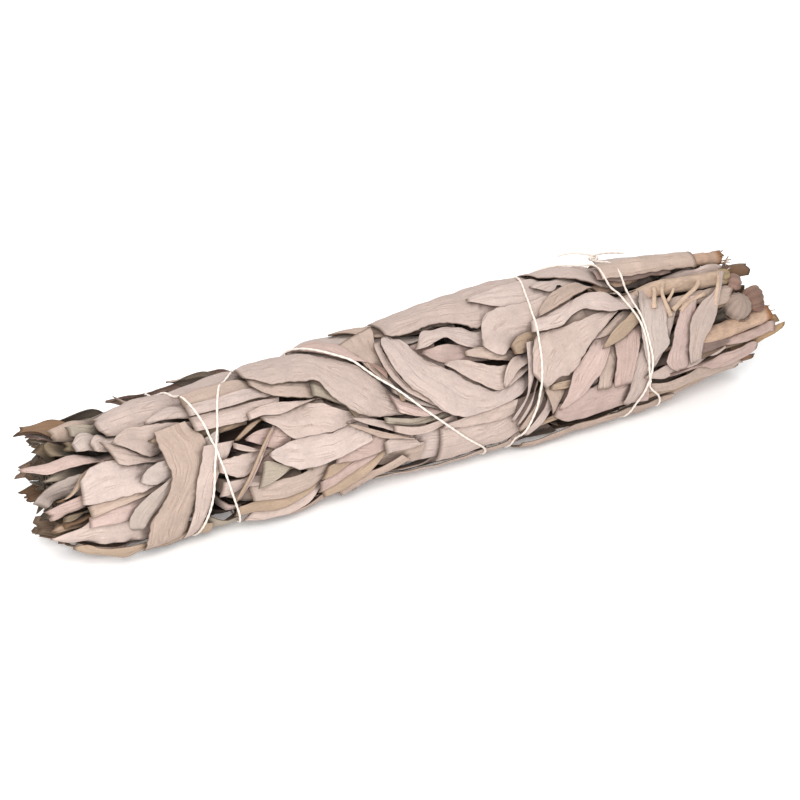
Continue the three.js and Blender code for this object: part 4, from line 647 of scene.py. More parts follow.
bites = 3
edge_wave_mm = (11.0, 4.3)
narrowest = 0.04


def half_widths(one, t, w, length, draw):
    """Half width along a blade, on the side of each w: a narrow root that opens out, then straight sides to
    a pointed tip, or a broken one that stays wide; sharp bites are taken out of each side."""
    if one["form"] == "stalk":
        return one["wide"] / 2 * (0.8 + 0.4 * t) * np.ones_like(w)
    both = []
    wide = one["wide"] * (1.2 if one["wide"] > 4 and not one.get("deep") else 1.0)
    folded = draw.integers(0, 5)
    for side in (0, 1):
        root = 0.6 + 0.4 * smooth_step((t + 0.02) / 0.3)
        power = 1.7 + 1.8 * draw.random()
        reach = 0.35 + 0.3 * draw.random()
        u = np.clip((t - reach) / (1 - reach), 0, 1)
        tip = 1 - u ** power
        if one.get("torn"):
            tip = 1 - (0.3 + 0.3 * draw.random()) * u ** 1.5
        if one.get("blunt"):
            tip = 1 - 0.2 * draw.random() * t
        edge = root * tip
        if side == folded and not one.get("torn"):
            edge = np.minimum(edge, (0.75 + 0.2 * draw.random()) * (1 - 0.9 * t))
        long_wave, short_wave = (tent(t * length / wave_mm + draw.random()) for wave_mm in edge_wave_mm)
        edge = edge * (1 + 0.03 * long_wave + 0.02 * short_wave)
        for _ in range(bites):
            place, size = 0.2 + 0.75 * draw.random(), 0.7 + 2.0 * draw.random()
            cut = 0.2 * draw.random() ** 2
            edge = edge * (1 - cut * np.clip(1 - np.abs(t - place) * length / size, 0, 1))
        both.append(np.maximum(edge, narrowest))
    return wide / 2 * np.where(w < 0, both[0], both[1])


def side_places(one, t, per_degree, draw):
    """The two sides of a leaf given by places, read at even steps of their length in millimetres; before
    the root they run on in the way of their first steps. Corners are rounded a little, and small waves
    added."""
    both = []
    for given in one["sides"]:
        places = np.array(given, float) * [1, per_degree]
        run = np.concatenate([[0], np.cumsum(np.hypot(*np.diff(places, axis=0).T))])
        at = np.maximum(t, 0)[:, 0] * run[-1]
        read = np.stack([np.interp(at, run, places[:, k]) for k in (0, 1)], -1)
        read += np.minimum(t, 0) * run[-1] * (places[1] - places[0]) / run[1]
        for _ in range(2):
            read[1:-1] = evened(read)[1:-1]
        both.append(read)
    middle = (both[0] + both[1]) / 2
    for k in (0, 1):
        wave = 0.03 * tent(t * 6 + draw.random()) + 0.025 * tent(t * 17 + draw.random())
        both[k] = middle + (both[k] - middle) * (1 + wave)
    step = np.gradient(middle, axis=0)
    turns = np.sum(step[:, 0] * (both[1] - both[0])[:, 1] - step[:, 1] * (both[1] - both[0])[:, 0])
    return both if turns > 0 else both[::-1]


def lower_line(limit, w):
    """For each row the straight line over w that stays under the limit and is highest at w = 0, among a set
    of slopes; its height and its slope are then evened along the rows, keeping to the low side."""
    slopes = np.linspace(-3.5, 3.5, 29)
    height = np.min(limit[:, :, None] - w[0][None, :, None] * slopes[None, None, :], axis=1)
    best = np.argmax(height - 0.06 * np.abs(slopes)[None, :], axis=1)
    a = np.take_along_axis(height, best[:, None], 1)
    b = slopes[best][:, None]
    for _ in range(4):
        b = evened(b)
    a = a - np.clip((a + b * w - limit).max(axis=1, keepdims=True), 0, None)
    for _ in range(10):
        a = np.minimum(a, evened(a))
    return a + b * w


fine_across = np.array([-1, -0.95, -0.78, -0.56, -0.34, -0.14, 0, 0.14, 0.34, 0.56, 0.78, 0.95, 1])
coarse_across = np.array([-1, -0.92, -0.6, -0.3, 0, 0.3, 0.6, 0.92, 1])
fine_row_mm, coarse_row_mm, fewest_rows, most_rows = 1.15, 1.8, 8, 64
leaf_thickness = 0.34
leaf_gap = 0.16
root_tuck = 7.0
cover_gap = 3.0
# A leaf whose form curls further than this rolls up, so that it lies under the lowest ceiling of each row.
rolled_degrees = 150
leaf_draw = np.random.default_rng(4)


def lay_leaf(one):
    """Lays a blade under those laid before it. Its middle line is a parabola on the unrolled bundle, its
    section an arc that sags by the arc's height, and its radius the straight line under the bundle's outer
    radius and the ceiling. Folds run along it, buckles across it, and its edges turn up or down."""
    draw = leaf_draw
    form, sides = one["form"], one.get("sides")
    coarse, deep = one.get("coarse", False), one.get("deep", 0.0)
    thin = form in ("stalk", "foot")
    ends = [one["root"], one["tip"]]
    (s0, a0), (s1, a1) = ends
    mean = max(float(outer_radius((s0 + s1) / 2, (a0 + a1) / 2)) - deep, 3.0)
    per_degree = mean * math.pi / 180
    length = math.hypot(s1 - s0, (a1 - a0) * per_degree)
    if sides:
        steps = [np.diff(np.array(side, float) * [1, per_degree], axis=0) for side in sides]
        length = sum(float(np.hypot(*step.T).sum()) for step in steps) / 2
    tuck_share = 0.0 if thin or coarse else one.get("tuck", root_tuck) / length
    row_mm = coarse_row_mm if coarse else fine_row_mm
    along = int(np.clip(round(length * (1 + tuck_share) / row_mm), fewest_rows, most_rows))
    t = np.linspace(-tuck_share, 1, along + 1)[:, None]
    w = (coarse_across if coarse else fine_across)[None, :]

    # The middle line with its direction, and the half widths. A leaf given by its sides takes both from
    # these; half_widths makes its random draws all the same, for the sake of the leaves laid after it.
    via = one.get("via", ((s0 + s1) / 2, (a0 + a1) / 2))
    bend = [2 * via[k] - (ends[0][k] + ends[1][k]) / 2 for k in (0, 1)]
    line = [(1 - t) ** 2 * ends[0][k] + 2 * t * (1 - t) * bend[k] + t * t * ends[1][k] for k in (0, 1)]
    slope = [2 * (1 - t) * (bend[k] - ends[0][k]) + 2 * t * (ends[1][k] - bend[k]) for k in (0, 1)]
    slope[1] = slope[1] * per_degree
    size = np.hypot(slope[0], slope[1])
    ds, da = slope[0] / size, slope[1] / size
    half = half_widths(one, (t + tuck_share) / (1 + tuck_share), w, length, draw)
    if sides:
        low_side, high_side = side_places(one, t, per_degree, draw)
        middle, reach = (low_side + high_side) / 2, (high_side - low_side) / 2
        line = [middle[:, 0:1], middle[:, 1:2] / per_degree]
        half = np.maximum(np.hypot(reach[:, 0:1], reach[:, 1:2]), 0.15) * np.ones_like(w)
    elif one["wide"] > 5 and not thin:
        for _ in range(5):
            inside = in_pit(line[0] - half * w * da, line[1] + half * w * ds / per_degree, 0.9) > 0.5
            inside &= ~inside[:, w.size // 2][:, None]
            for near_side in (w < 0, w > 0):
                cut = (inside & near_side).any(axis=1)[:, None] & near_side
                half = np.where(cut, half * 0.84, half)
        for _ in range(3):
            half = np.minimum(half, evened(half))

    # The section's curl, and how far its arc lies to the side of the middle line and below its crown.
    curl_degrees, edges = curls[form]
    rolls_up = curl_degrees > rolled_degrees and form != "cone"
    curl_wave = 0.15 * tent(t * 0.8 + draw.random())
    curl = math.radians(curl_degrees) * (0.7 + 0.45 * np.clip(t, 0, 1) + curl_wave)
    if form == "cone":
        curl = math.radians(50) + math.radians(curl_degrees - 50) * np.clip(t, 0, 1) ** 2.5
    turn = 2 * half / curl
    side = turn * np.sin(curl * w / 2)
    sag = turn * (1 - np.cos(curl * w / 2))
    drop = (turn * (1 - np.cos(curl / 2)) - sag) if edges > 0 else sag

    # The places of the blade's points: the middle line sways and hooks, and a broken tip is jagged.
    sway = 0.05 * one["wide"] * np.sin(t * length / 9 + 6.3 * draw.random())
    hook = 0.3 * one["wide"] * (draw.random() - 0.5) * smooth_step((t - 0.55) / 0.45)
    sway = sway if form == "stalk" else sway + hook
    jag = 0.0
    if one.get("blunt"):
        jag = (1.2 * draw.random() * w + 0.5 * tent(0.9 * w + draw.random())) * smooth_step((t - 0.8) / 0.2)
    if one.get("torn"):
        tear = (3.0 * draw.random() - 1.5) * w + 0.9 * tent(0.6 * w + draw.random()) + 0.3 * tent(1.7 * w)
        jag = tear * smooth_step((t - 0.7) / 0.3)
    s = line[0] - (side + sway) * da + jag * ds
    angle = line[1] + ((side + sway) * ds + jag * da) / per_degree
    if sides:
        out = np.sin(curl * w / 2) / np.sin(curl / 2)
        s = line[0] + out * reach[:, 0:1]
        angle = line[1] + out * reach[:, 1:2] / per_degree

    # The radius that it may reach: under the surface and the leaves above, less the thread's pinch.
    lift = 0.0 if form == "foot" else draw.random() * 0.8 - 0.5
    free = 1 - blurred(pinch[map_cells(s, angle)]) / pinch_depth
    cap = outer_radius(s, angle) - deep + (lift if deep < 0.01 else 0) * free - pinch_depth * (1 - free)
    if form == "foot":
        cap = height_radius(0.0, angle) - 0.05
    if coarse:
        cap = cap - pit_depth * in_pit(s, angle, 1.2)
    limit = np.minimum(cap, cells_round(ceiling, s, angle).min(axis=0) - leaf_gap)
    if one.get("most"):
        limit = np.maximum(limit, cap - one["most"])
    if rolls_up:
        limit = np.repeat(limit.min(axis=1, keepdims=True), w.size, axis=1)
    if rolls_up or coarse:
        for _ in range(8 if rolls_up else 3):
            limit = np.minimum(limit, blurred(limit))
    elif form != "foot":
        limit = lower_line(limit, w)

    # What stands off that radius: a raised or torn tip, a fold, turned edges, a crease and buckles.
    tip_curl = one.get("rise", 0.0) * np.clip(t, 0, 1) ** 2
    if one.get("torn"):
        tip_curl = tip_curl + (2.4 * draw.random() - 1.4) * smooth_step((t - 0.72) / 0.28)
    fold_at = 0.25 + 0.35 * draw.random()
    fold_height = 0.3 * draw.random()
    off_fold = np.abs(w - fold_at * np.sign(draw.random() - 0.5))
    fold = fold_height * np.clip(1 - off_fold / 0.22, 0, 1)
    turned = [(0.9 * draw.random() - 0.45) * (0.6 + 0.4 * tent(t * length / 14 + draw.random()))
              for _ in (0, 1)]
    margin = np.where(w < 0, turned[0], turned[1]) * np.clip((np.abs(w) - 0.6) / 0.4, 0, 1) ** 1.5
    crease = 0.16 * draw.random() * np.clip(1 - np.abs(w) / 0.2, 0, 1) * (curl_degrees < rolled_degrees)
    buckle = 0.11 * tent(t * length / (6 + 5 * draw.random()) + w * (draw.random() - 0.5) + draw.random())
    radius = limit - drop + (tip_curl - (0 if thin else fold + crease + buckle - margin)) * free
    radius = np.maximum(radius, 1.0)
    if form == "foot":
        radius = np.minimum(radius, height_radius(0.3, angle))

    # The share of the cells round it that leaves above cover, which sets its painted shade, and what it
    # adds to the two maps itself.
    near = np.delete(cells_round(ceiling, s, angle, 2, 3), 4, axis=0)
    cover = np.mean(near < radius + cover_gap, axis=0)
    fine = [finer(grid, 6 if coarse else 4) for grid in (s, angle, radius - leaf_thickness)]
    np.minimum.at(ceiling, map_cells(fine[0], fine[1]), fine[2])
    np.maximum.at(surface, map_cells(fine[0], fine[1]), fine[2] + 1.5 * leaf_thickness)
    return s, angle, radius, half * w, (t + tuck_share) * length, t, w, cover


def closed_blade(points, w, thickness):
    """A closed sheet: the grid moved half the thickness along its normals to both sides, thinner towards
    its edges, with the two faces joined round the rim."""
    along = np.gradient(points, axis=0)
    across = np.gradient(points, axis=1)
    normal = np.cross(along, across)
    normal /= np.maximum(np.linalg.norm(normal, axis=-1, keepdims=True), 1e-12)
    offset = normal * thickness / 2 * (0.6 + 0.4 * np.sqrt(np.clip(1 - w ** 2, 0, 1)))[..., None]
    return np.concatenate([points + offset, (points - offset)[:, ::-1]], axis=1)


def sheet_part(sheet, colours, uv=None):
    """A closed blade as arrays for a mesh: its points, quads round each ring and over its two ends, a UV
    and a colour a point, and true at the points on its rim. The UV is zero where none is given."""
    rows, count = sheet.shape[:2]
    across = count // 2
    i, j = np.meshgrid(np.arange(rows - 1), np.arange(count), indexing="ij")
    a, b = i * count + j, i * count + (j + 1) % count
    ring_quads = np.stack([a, b, b + count, a + count], -1).reshape(-1, 4)
    k = np.arange(across - 1)
    start = np.stack([k, count - 1 - k, count - 2 - k, k + 1], -1)
    end = (rows - 1) * count + start[:, ::-1]
    rim = np.zeros((rows, count), bool)
    rim[[0, -1]] = True
    rim[:, [0, across - 1, across, count - 1]] = True
    uv = np.zeros((rows, count, 2)) if uv is None else uv
    colours = np.broadcast_to(colours, (rows, count, 4))
    return (sheet.reshape(-1, 3), np.concatenate([ring_quads, start, end]), uv.reshape(-1, 2),
            colours.reshape(-1, 4), rim.ravel())


def joined(pieces):
    """Pieces put one after another: points, faces with their points' new numbers, and other arrays."""
    starts = np.cumsum([0] + [len(piece[0]) for piece in pieces[:-1]])
    points, faces, *others = zip(*pieces)
    faces = [face + start for face, start in zip(faces, starts)]
    return [np.concatenate(arrays) for arrays in (points, faces, *others)]


# Painted shade: a leaf darkens from the first depth in millimetres below the bundle's surface over the
# second, and half as much where the bundle is open: within the open span of its two ends, where light
# reaches in.
depth_shade_from, depth_shade_over = 2.4, 3.4
open_low, open_high, open_span = 16, 196, 12
# Painted shadow line along a covering leaf's edge: the share of covered cells from which it turns dark,
# its span, and its strength; and the colour of the painted shade in the gaps.
shadow_line_from, shadow_line_over, shadow_line_most = 0.32, 0.25, 0.5
gap_shade = np.array(linear_colour("#2e170c")[:3])


def leaf_colours(one, radius, s, angle, t, w, cover):
    """Colour over a blade: between its tone's two colours by a random share; browner at the rim and the
    tip, partly the dry edge's own colour and partly painted shade for the dark line along an edge; painted
    shade beside a leaf that covers it, a painted shadow line, almost black, along that leaf's edge, and
    painted shade that deepens with the depth below the bundle's surface. The under face is a step towards
    its second colour, partly its own tan and partly painted shade."""
    light, dark = (np.array(linear_colour(c)[:3]) for c in tones[one["tone"]])
    share = 0.3 * leaf_draw.random()
    top = (light * (1 - share) + dark * share) * (0.93 + 0.12 * leaf_draw.random())
    # Rim and tip: partly the dry edge's own brown and partly painted shade for the dark line along an edge.
    rim = np.clip((np.abs(w) - 0.95) / 0.05, 0, 1) + np.clip((t - 0.985) / 0.015, 0, 1)
    rim = 0.9 * np.clip(rim, 0, 1)[..., None]
    # Painted shade that deepens with the depth below the bundle's surface, half as strong at the open ends.
    open_end = smooth_step((s - open_high) / open_span) + smooth_step((open_low - s) / open_span)
    below = outer_radius(s, angle) - radius - depth_shade_from
    depth = (smooth_step(below / depth_shade_over) * (1 - 0.5 * open_end))[..., None]
    # Painted shadow line, almost black, along the edge of a covering leaf.
    shadow_line = shadow_line_most * smooth_step((cover - shadow_line_from) / shadow_line_over)[..., None]
    # Painted shade beside a covering leaf, over the rim's colour.
    over = (top * (1 - rim) + dark * 0.4 * rim) * (1 - np.array([0.12, 0.16, 0.19]) * cover[..., None])
    over = over * (1 - shadow_line) + gap_shade * 0.3 * shadow_line
    # Painted depth shade, towards the colour of the gap shade.
    over = over * (1 - depth) + (over * 0.04 + gap_shade * 0.2) * depth
    # Under face: its own tan, darkened partly as painted shade, and painted depth shade.
    under = dark * (0.85 - 0.4 * rim) * (1 - depth) + (dark * 0.04 + gap_shade * 0.2) * depth
    both = np.concatenate([over, (under * np.ones_like(over))[:, ::-1]], axis=1)
    return np.concatenate([both, np.ones(both.shape[:2] + (1,))], axis=-1)


def add_mesh(name, points, faces, uv, colours=None, rim=None):
    """A smooth mesh object at the origin from arrays of points, four-cornered faces, a UV and a colour a
    point; edges between two rim points are sharp."""
    mesh = bpy.data.meshes.new(name)
    mesh.vertices.add(len(points))
    mesh.vertices.foreach_set("co", np.ascontiguousarray(points, np.float32).ravel())
    mesh.loops.add(faces.size)
    mesh.loops.foreach_set("vertex_index", np.ascontiguousarray(faces, np.int32).ravel())
    mesh.polygons.add(len(faces))
    mesh.polygons.foreach_set("loop_start", np.arange(0, faces.size, faces.shape[1], dtype=np.int32))
    mesh.polygons.foreach_set("use_smooth", np.ones(len(faces), bool))
    layer = mesh.uv_layers.new(name="blade")
    layer.data.foreach_set("uv", np.ascontiguousarray(uv[faces.ravel()], np.float32).ravel())
    if colours is not None:
        layer = mesh.color_attributes.new("tone", "FLOAT_COLOR", "POINT")
        layer.data.foreach_set("color", np.ascontiguousarray(colours, np.float32).ravel())
    mesh.update(calc_edges=True)
    if rim is not None:
        ends = np.empty(2 * len(mesh.edges), np.int32)
        mesh.edges.foreach_get("vertices", ends)
        sharp = mesh.attributes.new("sharp_edge", "BOOLEAN", "EDGE")
        sharp.data.foreach_set("value", rim[ends].reshape(-1, 2).all(axis=1))
    made = bpy.data.objects.new(name, mesh)
    bpy.context.scene.collection.objects.link(made)
    return made


# Felted sage leaf: a dry blade under fine white hairs, which make it pale, matt and soft to the eye, with a
# sunk midrib, faint side veins, fold lines painted dark brown as shade in their creases, crinkles along its
# length and a few dark specks.
felted_leaf, tree, shader = new_material(
    "felted_sage_leaf", Roughness=0.85, Specular_IOR_Level=0.25, Sheen_Weight=0.06, Sheen_Roughness=0.5,
    Sheen_Tint=linear_colour("#f4ece6"))
speck_mm, mottle_mm, pebble_mm, crinkle_mm, vein_mm, fold_mm = 0.7, 5.0, 0.55, 1.6, 3.2, 2.6
vein_lean = -1.1
fold_shade_strength = 0.32
tone = add_node(tree, "ShaderNodeAttribute", attribute_name="tone")
uv = add_node(tree, "ShaderNodeUVMap", uv_map="blade")
leaf_where = add_node(tree, "ShaderNodeTexCoord")
mottle = add_node(tree, "ShaderNodeTexNoise", {
    "Vector": leaf_where.outputs["Object"], "Scale": 1000 / mottle_mm, "Detail": 4.0, "Roughness": 0.6})
pebble = add_node(tree, "ShaderNodeTexNoise", {
    "Vector": leaf_where.outputs["Object"], "Scale": 1000 / pebble_mm, "Detail": 2.0})
speck = add_node(tree, "ShaderNodeTexNoise", {
    "Vector": leaf_where.outputs["Object"], "Scale": 1000 / speck_mm, "Detail": 1.0})
crinkle_uv = add_node(tree, "ShaderNodeMapping", {"Vector": uv.outputs["UV"], "Scale": (0.12, 1.0, 1.0)})
crinkle = add_node(tree, "ShaderNodeTexNoise", {
    "Vector": crinkle_uv.outputs["Vector"], "Scale": 1 / crinkle_mm, "Detail": 3.0, "Distortion": 0.4})

# The midrib runs along the middle of the blade, and the side veins lean away from it towards the tip.
split = add_node(tree, "ShaderNodeSeparateXYZ", {"Vector": uv.outputs["UV"]})
off_rib = add_node(tree, "ShaderNodeMath", {0: split.outputs["Y"]}, operation="ABSOLUTE")
rib = add_node(tree, "ShaderNodeMapRange", {
    "Value": off_rib.outputs[0], "From Min": 0.1, "From Max": 0.55, "To Min": 1.0, "To Max": 0.0})
vein_run = add_node(tree, "ShaderNodeMath", {0: off_rib.outputs[0], 1: vein_lean, 2: split.outputs["X"]},
                    operation="MULTIPLY_ADD")
vein_wave = add_node(tree, "ShaderNodeMath", {0: vein_run.outputs[0], 1: 2 * math.pi / vein_mm},
                     operation="MULTIPLY")
vein_sine = add_node(tree, "ShaderNodeMath", {0: vein_wave.outputs[0]}, operation="SINE")
vein = add_node(tree, "ShaderNodeMapRange", {
    "Value": vein_sine.outputs[0], "From Min": 0.72, "From Max": 1.0, "To Min": 0.0, "To Max": 1.0})

# Colour: the blade's own, made uneven by soft mottles, the felt, the rib, the veins and dark specks.
mottle_light = add_node(tree, "ShaderNodeMapRange", {
    "Value": mottle.outputs["Fac"], "From Min": 0.3, "From Max": 0.7, "To Min": 0.86, "To Max": 1.1})
fuzz_light = add_node(tree, "ShaderNodeMapRange", {
    "Value": pebble.outputs["Fac"], "From Min": 0.3, "From Max": 0.7, "To Min": 0.94, "To Max": 1.05})
both_light = add_node(tree, "ShaderNodeMath", {0: mottle_light.outputs[0], 1: fuzz_light.outputs[0]},
                      operation="MULTIPLY")
rib_light = add_node(tree, "ShaderNodeMath", {0: rib.outputs[0], 1: -0.03, 2: both_light.outputs[0]},
                     operation="MULTIPLY_ADD")
vein_light = add_node(tree, "ShaderNodeMath", {0: vein.outputs[0], 1: -0.012, 2: rib_light.outputs[0]},
                      operation="MULTIPLY_ADD")
lit = add_node(tree, "ShaderNodeVectorMath", {0: tone.outputs["Color"], "Scale": vein_light.outputs[0]},
               operation="SCALE")
speck_share = add_node(tree, "ShaderNodeMapRange", {
    "Value": speck.outputs["Fac"], "From Min": 0.74, "From Max": 0.80, "To Min": 0.0, "To Max": 0.5})
specked = add_node(tree, "ShaderNodeMix", {
    0: speck_share.outputs[0], 6: lit.outputs[0], 7: linear_colour("#6b513d")}, data_type="RGBA")

# Fold lines follow the middle value of a noise that is drawn out along the blade, and show in some mottles;
# they are painted dark brown as shade in their creases.
line_uv = add_node(tree, "ShaderNodeMapping", {"Vector": uv.outputs["UV"], "Scale": (0.10, 1.0, 1.0)})
line_noise = add_node(tree, "ShaderNodeTexNoise", {
    "Vector": line_uv.outputs["Vector"], "Scale": 1 / fold_mm, "Detail": 2.0, "Distortion": 0.5})
line_off = add_node(tree, "ShaderNodeMath", {0: line_noise.outputs["Fac"], 1: 0.5}, operation="SUBTRACT")
line_near = add_node(tree, "ShaderNodeMath", {0: line_off.outputs[0]}, operation="ABSOLUTE")
line = add_node(tree, "ShaderNodeMapRange", {
    "Value": line_near.outputs[0], "From Min": 0.0, "From Max": 0.035, "To Min": 1.0, "To Max": 0.0})
line_shows = add_node(tree, "ShaderNodeMapRange", {
    "Value": mottle.outputs["Fac"], "From Min": 0.44, "From Max": 0.60, "To Min": 0.0, "To Max": 1.0})
fold_line = add_node(tree, "ShaderNodeMath", {0: line.outputs[0], 1: line_shows.outputs[0]},
                     operation="MULTIPLY")
fold_shade_share = add_node(tree, "ShaderNodeMath", {0: fold_line.outputs[0], 1: fold_shade_strength},
                      operation="MULTIPLY")
fold_shaded_colour = add_node(tree, "ShaderNodeMix", {
    0: fold_shade_share.outputs[0], 6: specked.outputs[2], 7: linear_colour("#6d4f3c")}, data_type="RGBA")

# Relief: the felt's pebbles, then crinkles standing up, and the rib, the veins and the fold lines sunk.
height = add_node(tree, "ShaderNodeMath", {0: pebble.outputs["Fac"], 1: 0.10}, operation="MULTIPLY")
for pattern, rise in ((crinkle.outputs["Fac"], 0.30), (rib.outputs[0], -0.12), (vein.outputs[0], -0.012),
                      (fold_line.outputs[0], -0.16)):
    height = add_node(tree, "ShaderNodeMath", {0: pattern, 1: rise, 2: height.outputs[0]},
                      operation="MULTIPLY_ADD")
bump = add_node(tree, "ShaderNodeBump", {"Height": height.outputs[0], "Strength": 0.8, "Distance": 0.001})
tree.links.new(fold_shaded_colour.outputs[2], shader.inputs["Base Color"])
tree.links.new(bump.outputs["Normal"], shader.inputs["Normal"])

# The woody stems, which the leaves are laid round: each one's radius, the place of its end, its depth under
# the bundle's surface there, its angle, the place from which it shows, and the colour of its bark.
stems = [
    dict(radius=2.5, end=221.5, under=0.3, angle=7, shows=199, bark="#b79a84"),
    dict(radius=2.3, end=211, under=0.1, angle=63, shows=188, bark="#bba28e"),
    dict(radius=2.0, end=212.5, under=-0.8, angle=88, shows=190, bark="#b0937f"),
    dict(radius=1.7, end=209, under=2.5, angle=128, shows=204, bark="#a88a72"),
    dict(radius=2.1, end=217, under=1.2, angle=170, shows=200, bark="#ad8f76"),
    dict(radius=1.6, end=206, under=3.0, angle=207, shows=204, bark="#a88a72"),
    dict(radius=2.2, end=219, under=3.2, angle=249, shows=206, bark="#b0916f"),
    dict(radius=1.8, end=211, under=4.5, angle=288, shows=206, bark="#a3866c"),
    dict(radius=2.0, end=220, under=4.0, angle=329, shows=208, bark="#ad8d66"),
]
stem_inner, stem_turn_out, stem_out = 8.6, 140.0, 190.0


def stem_middle(stem, s):
    """Radius of a stem's middle line: even inside, then a smooth rise until it lies in the surface."""
    at_surface = outer_radius(s, stem["angle"]) - stem["radius"] - stem["under"]
    share = smooth_step((s - stem_turn_out) / (stem_out - stem_turn_out))
    hidden = 3.0 * smooth_step((stem["shows"] - s) / 12)
    return stem_inner * (1 - share) + (at_surface - hidden) * share


def keep_clear(stem):
    """Lowers the ceiling to a stem's under side where it shows, so that leaves laid after it go below."""
    s = np.arange(stem["shows"], stem["end"] + 1.0, map_s_step)[:, None]
    middle = stem_middle(stem, s)
    off = np.linspace(-1, 1, 25)[None, :] * 0.98
    angle = stem["angle"] + np.degrees(off * stem["radius"] / middle)
    low_side = middle - stem["radius"] * np.sqrt(1 - off ** 2) - 0.1
    np.minimum.at(ceiling, map_cells(s, angle), low_side)


sprig_count = 9
first_angle = 8.0
sprig_parts = {k: [] for k in range(sprig_count)}
outer_stems = [stem for stem in stems if stem["under"] < 1]
inner_stems = [stem for stem in stems if stem["under"] >= 1]
laying = (foot_leaves + over_leaves + outer_stems + front_leaves[::-1] + end_strips + inner_stems
          + end_leaves + rear_leaves[::-1] + tip_leaves + under_leaves)
for one in laying:
    if "bark" in one:
        keep_clear(one)
        continue
    s, angle, radius, across_mm, along_mm, t, w, cover = lay_leaf(one)
    sheet = closed_blade(place_at(s, angle, radius), w, leaf_thickness / 1000)
    grid_uv = np.stack(np.broadcast_arrays(along_mm, across_mm), -1)
    grid_uv = np.concatenate([grid_uv, grid_uv[:, ::-1]], axis=1)
    colours = leaf_colours(one, radius, s, angle, t, w, cover)
    owner = int(round((one["root"][1] - first_angle) / (360 / sprig_count))) % sprig_count
    sprig_parts[owner].append(sheet_part(sheet, colours, grid_uv))

# Packed middle of each sprig, which shows only as darkness between the leaves: its near-black colour is
# painted shade deep in the gaps.
core_deep, core_inner, core_half_turn = 8.5, 0.8, 20.0
core_shade_colour = np.array(linear_colour("#241710"))
for k in range(sprig_count):
    middle = first_angle + k * 360 / sprig_count
    core_s = np.linspace(12, 198, 60)[:, None]
    core_angle = np.linspace(middle - core_half_turn, middle + core_half_turn, 9)[None, :]
    core_wave = 0.6 * np.sin(core_s / 3 + core_angle)
    core_radius = np.maximum(outer_radius(core_s, core_angle) - core_deep + core_wave, 3.0)
    top, inner = (place_at(core_s, core_angle, radius) for radius in (core_radius, core_inner))
    sprig_parts[k].append(sheet_part(np.concatenate([top, inner[:, ::-1]], axis=1), core_shade_colour))

# Dried flower parts of the second sprig, between the first two stems' ends: a round felted bud with a wider
# husk under it, three small crumpled husks beyond it, a knob under a stem's end and an open cup.
ball_rows, ball_across, ball_thickness = 26, 49, 0.0004


def ball_shell(middle, axis, size, open_angles, ribs):
    """Part of a ribbed sphere round a middle: rows run from its pole along the polar angle, columns round
    the axis, and the ribs stand out as a cosine of the turn."""
    axis = Vector(axis).normalized()
    u = axis.orthogonal().normalized()
    v = axis.cross(u)
    polar = np.radians(np.linspace(open_angles[0], open_angles[1], ball_rows))[:, None]
    around = np.radians(np.linspace(0, 360, ball_across))[None, :]
    rib_wave = np.cos(ribs[0] * around + 2 * polar)
    size = size * (1 + ribs[1] * rib_wave * np.sin(polar) + 0.02 * np.sin(9 * polar))
    ray = (np.cos(polar)[..., None] * np.array(axis)
           + (np.sin(polar) * np.cos(around))[..., None] * np.array(u)
           + (np.sin(polar) * np.sin(around))[..., None] * np.array(v))
    return middle + ray * size[..., None] / 1000, rib_wave


# Each ball's place, axis, radius in millimetres, polar angles, number and height of its ribs, and colour.
balls = [
    ((211, 27, 15.0), (0.15, -0.3, 1), 3.7, (1, 179), (11, 0.045), "#a08d81"),
    ((211, 25, 14.7), (0.3, 0.2, -1), 3.95, (2, 62), (11, 0.06), "#826a5c"),
    ((216.6, 32, 14.6), (1, 0.1, 0.5), 2.9, (1, 179), (7, 0.12), "#84685b"),
    ((217.6, 24, 13.6), (1, -0.2, 0.1), 2.5, (1, 179), (6, 0.14), "#7a5d50"),
    ((218.2, 36, 13.2), (1, 0.3, 0.4), 2.2, (1, 179), (5, 0.15), "#8e7062"),
    ((209.5, 62, 15.9), (1, -0.2, 0.4), 2.0, (1, 179), (5, 0.14), "#a08a6c"),
    ((212, 53, 15.0), (-1, 0.1, 0.2), 2.3, (30, 179), (6, 0.12), "#917468"),
]
for at, axis, size, open_angles, ribs, tint in balls:
    shell, rib_wave = ball_shell(place_at(*at), axis, size, open_angles, ribs)
    sheet = closed_blade(shell, np.linspace(-1, 1, ball_across)[None, :], ball_thickness)
    # Painted shade and light: darker in the grooves between the ribs, lighter on them.
    shade = (0.86 + 0.07 * np.concatenate([rib_wave, rib_wave[:, ::-1]], axis=1))[..., None]
    colours = np.array(linear_colour(tint)) * np.concatenate([shade, shade, shade, shade * 0 + 1], axis=-1)
    sprig_parts[1].append(sheet_part(sheet, colours))

for k, parts in sprig_parts.items():
    made = add_mesh(f"sprig_{k + 1}_dried_leaves", *joined(parts))
    made.data.materials.append(felted_leaf)
    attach(made, "root")
    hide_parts(f"sprig_{k + 1}_leaves")


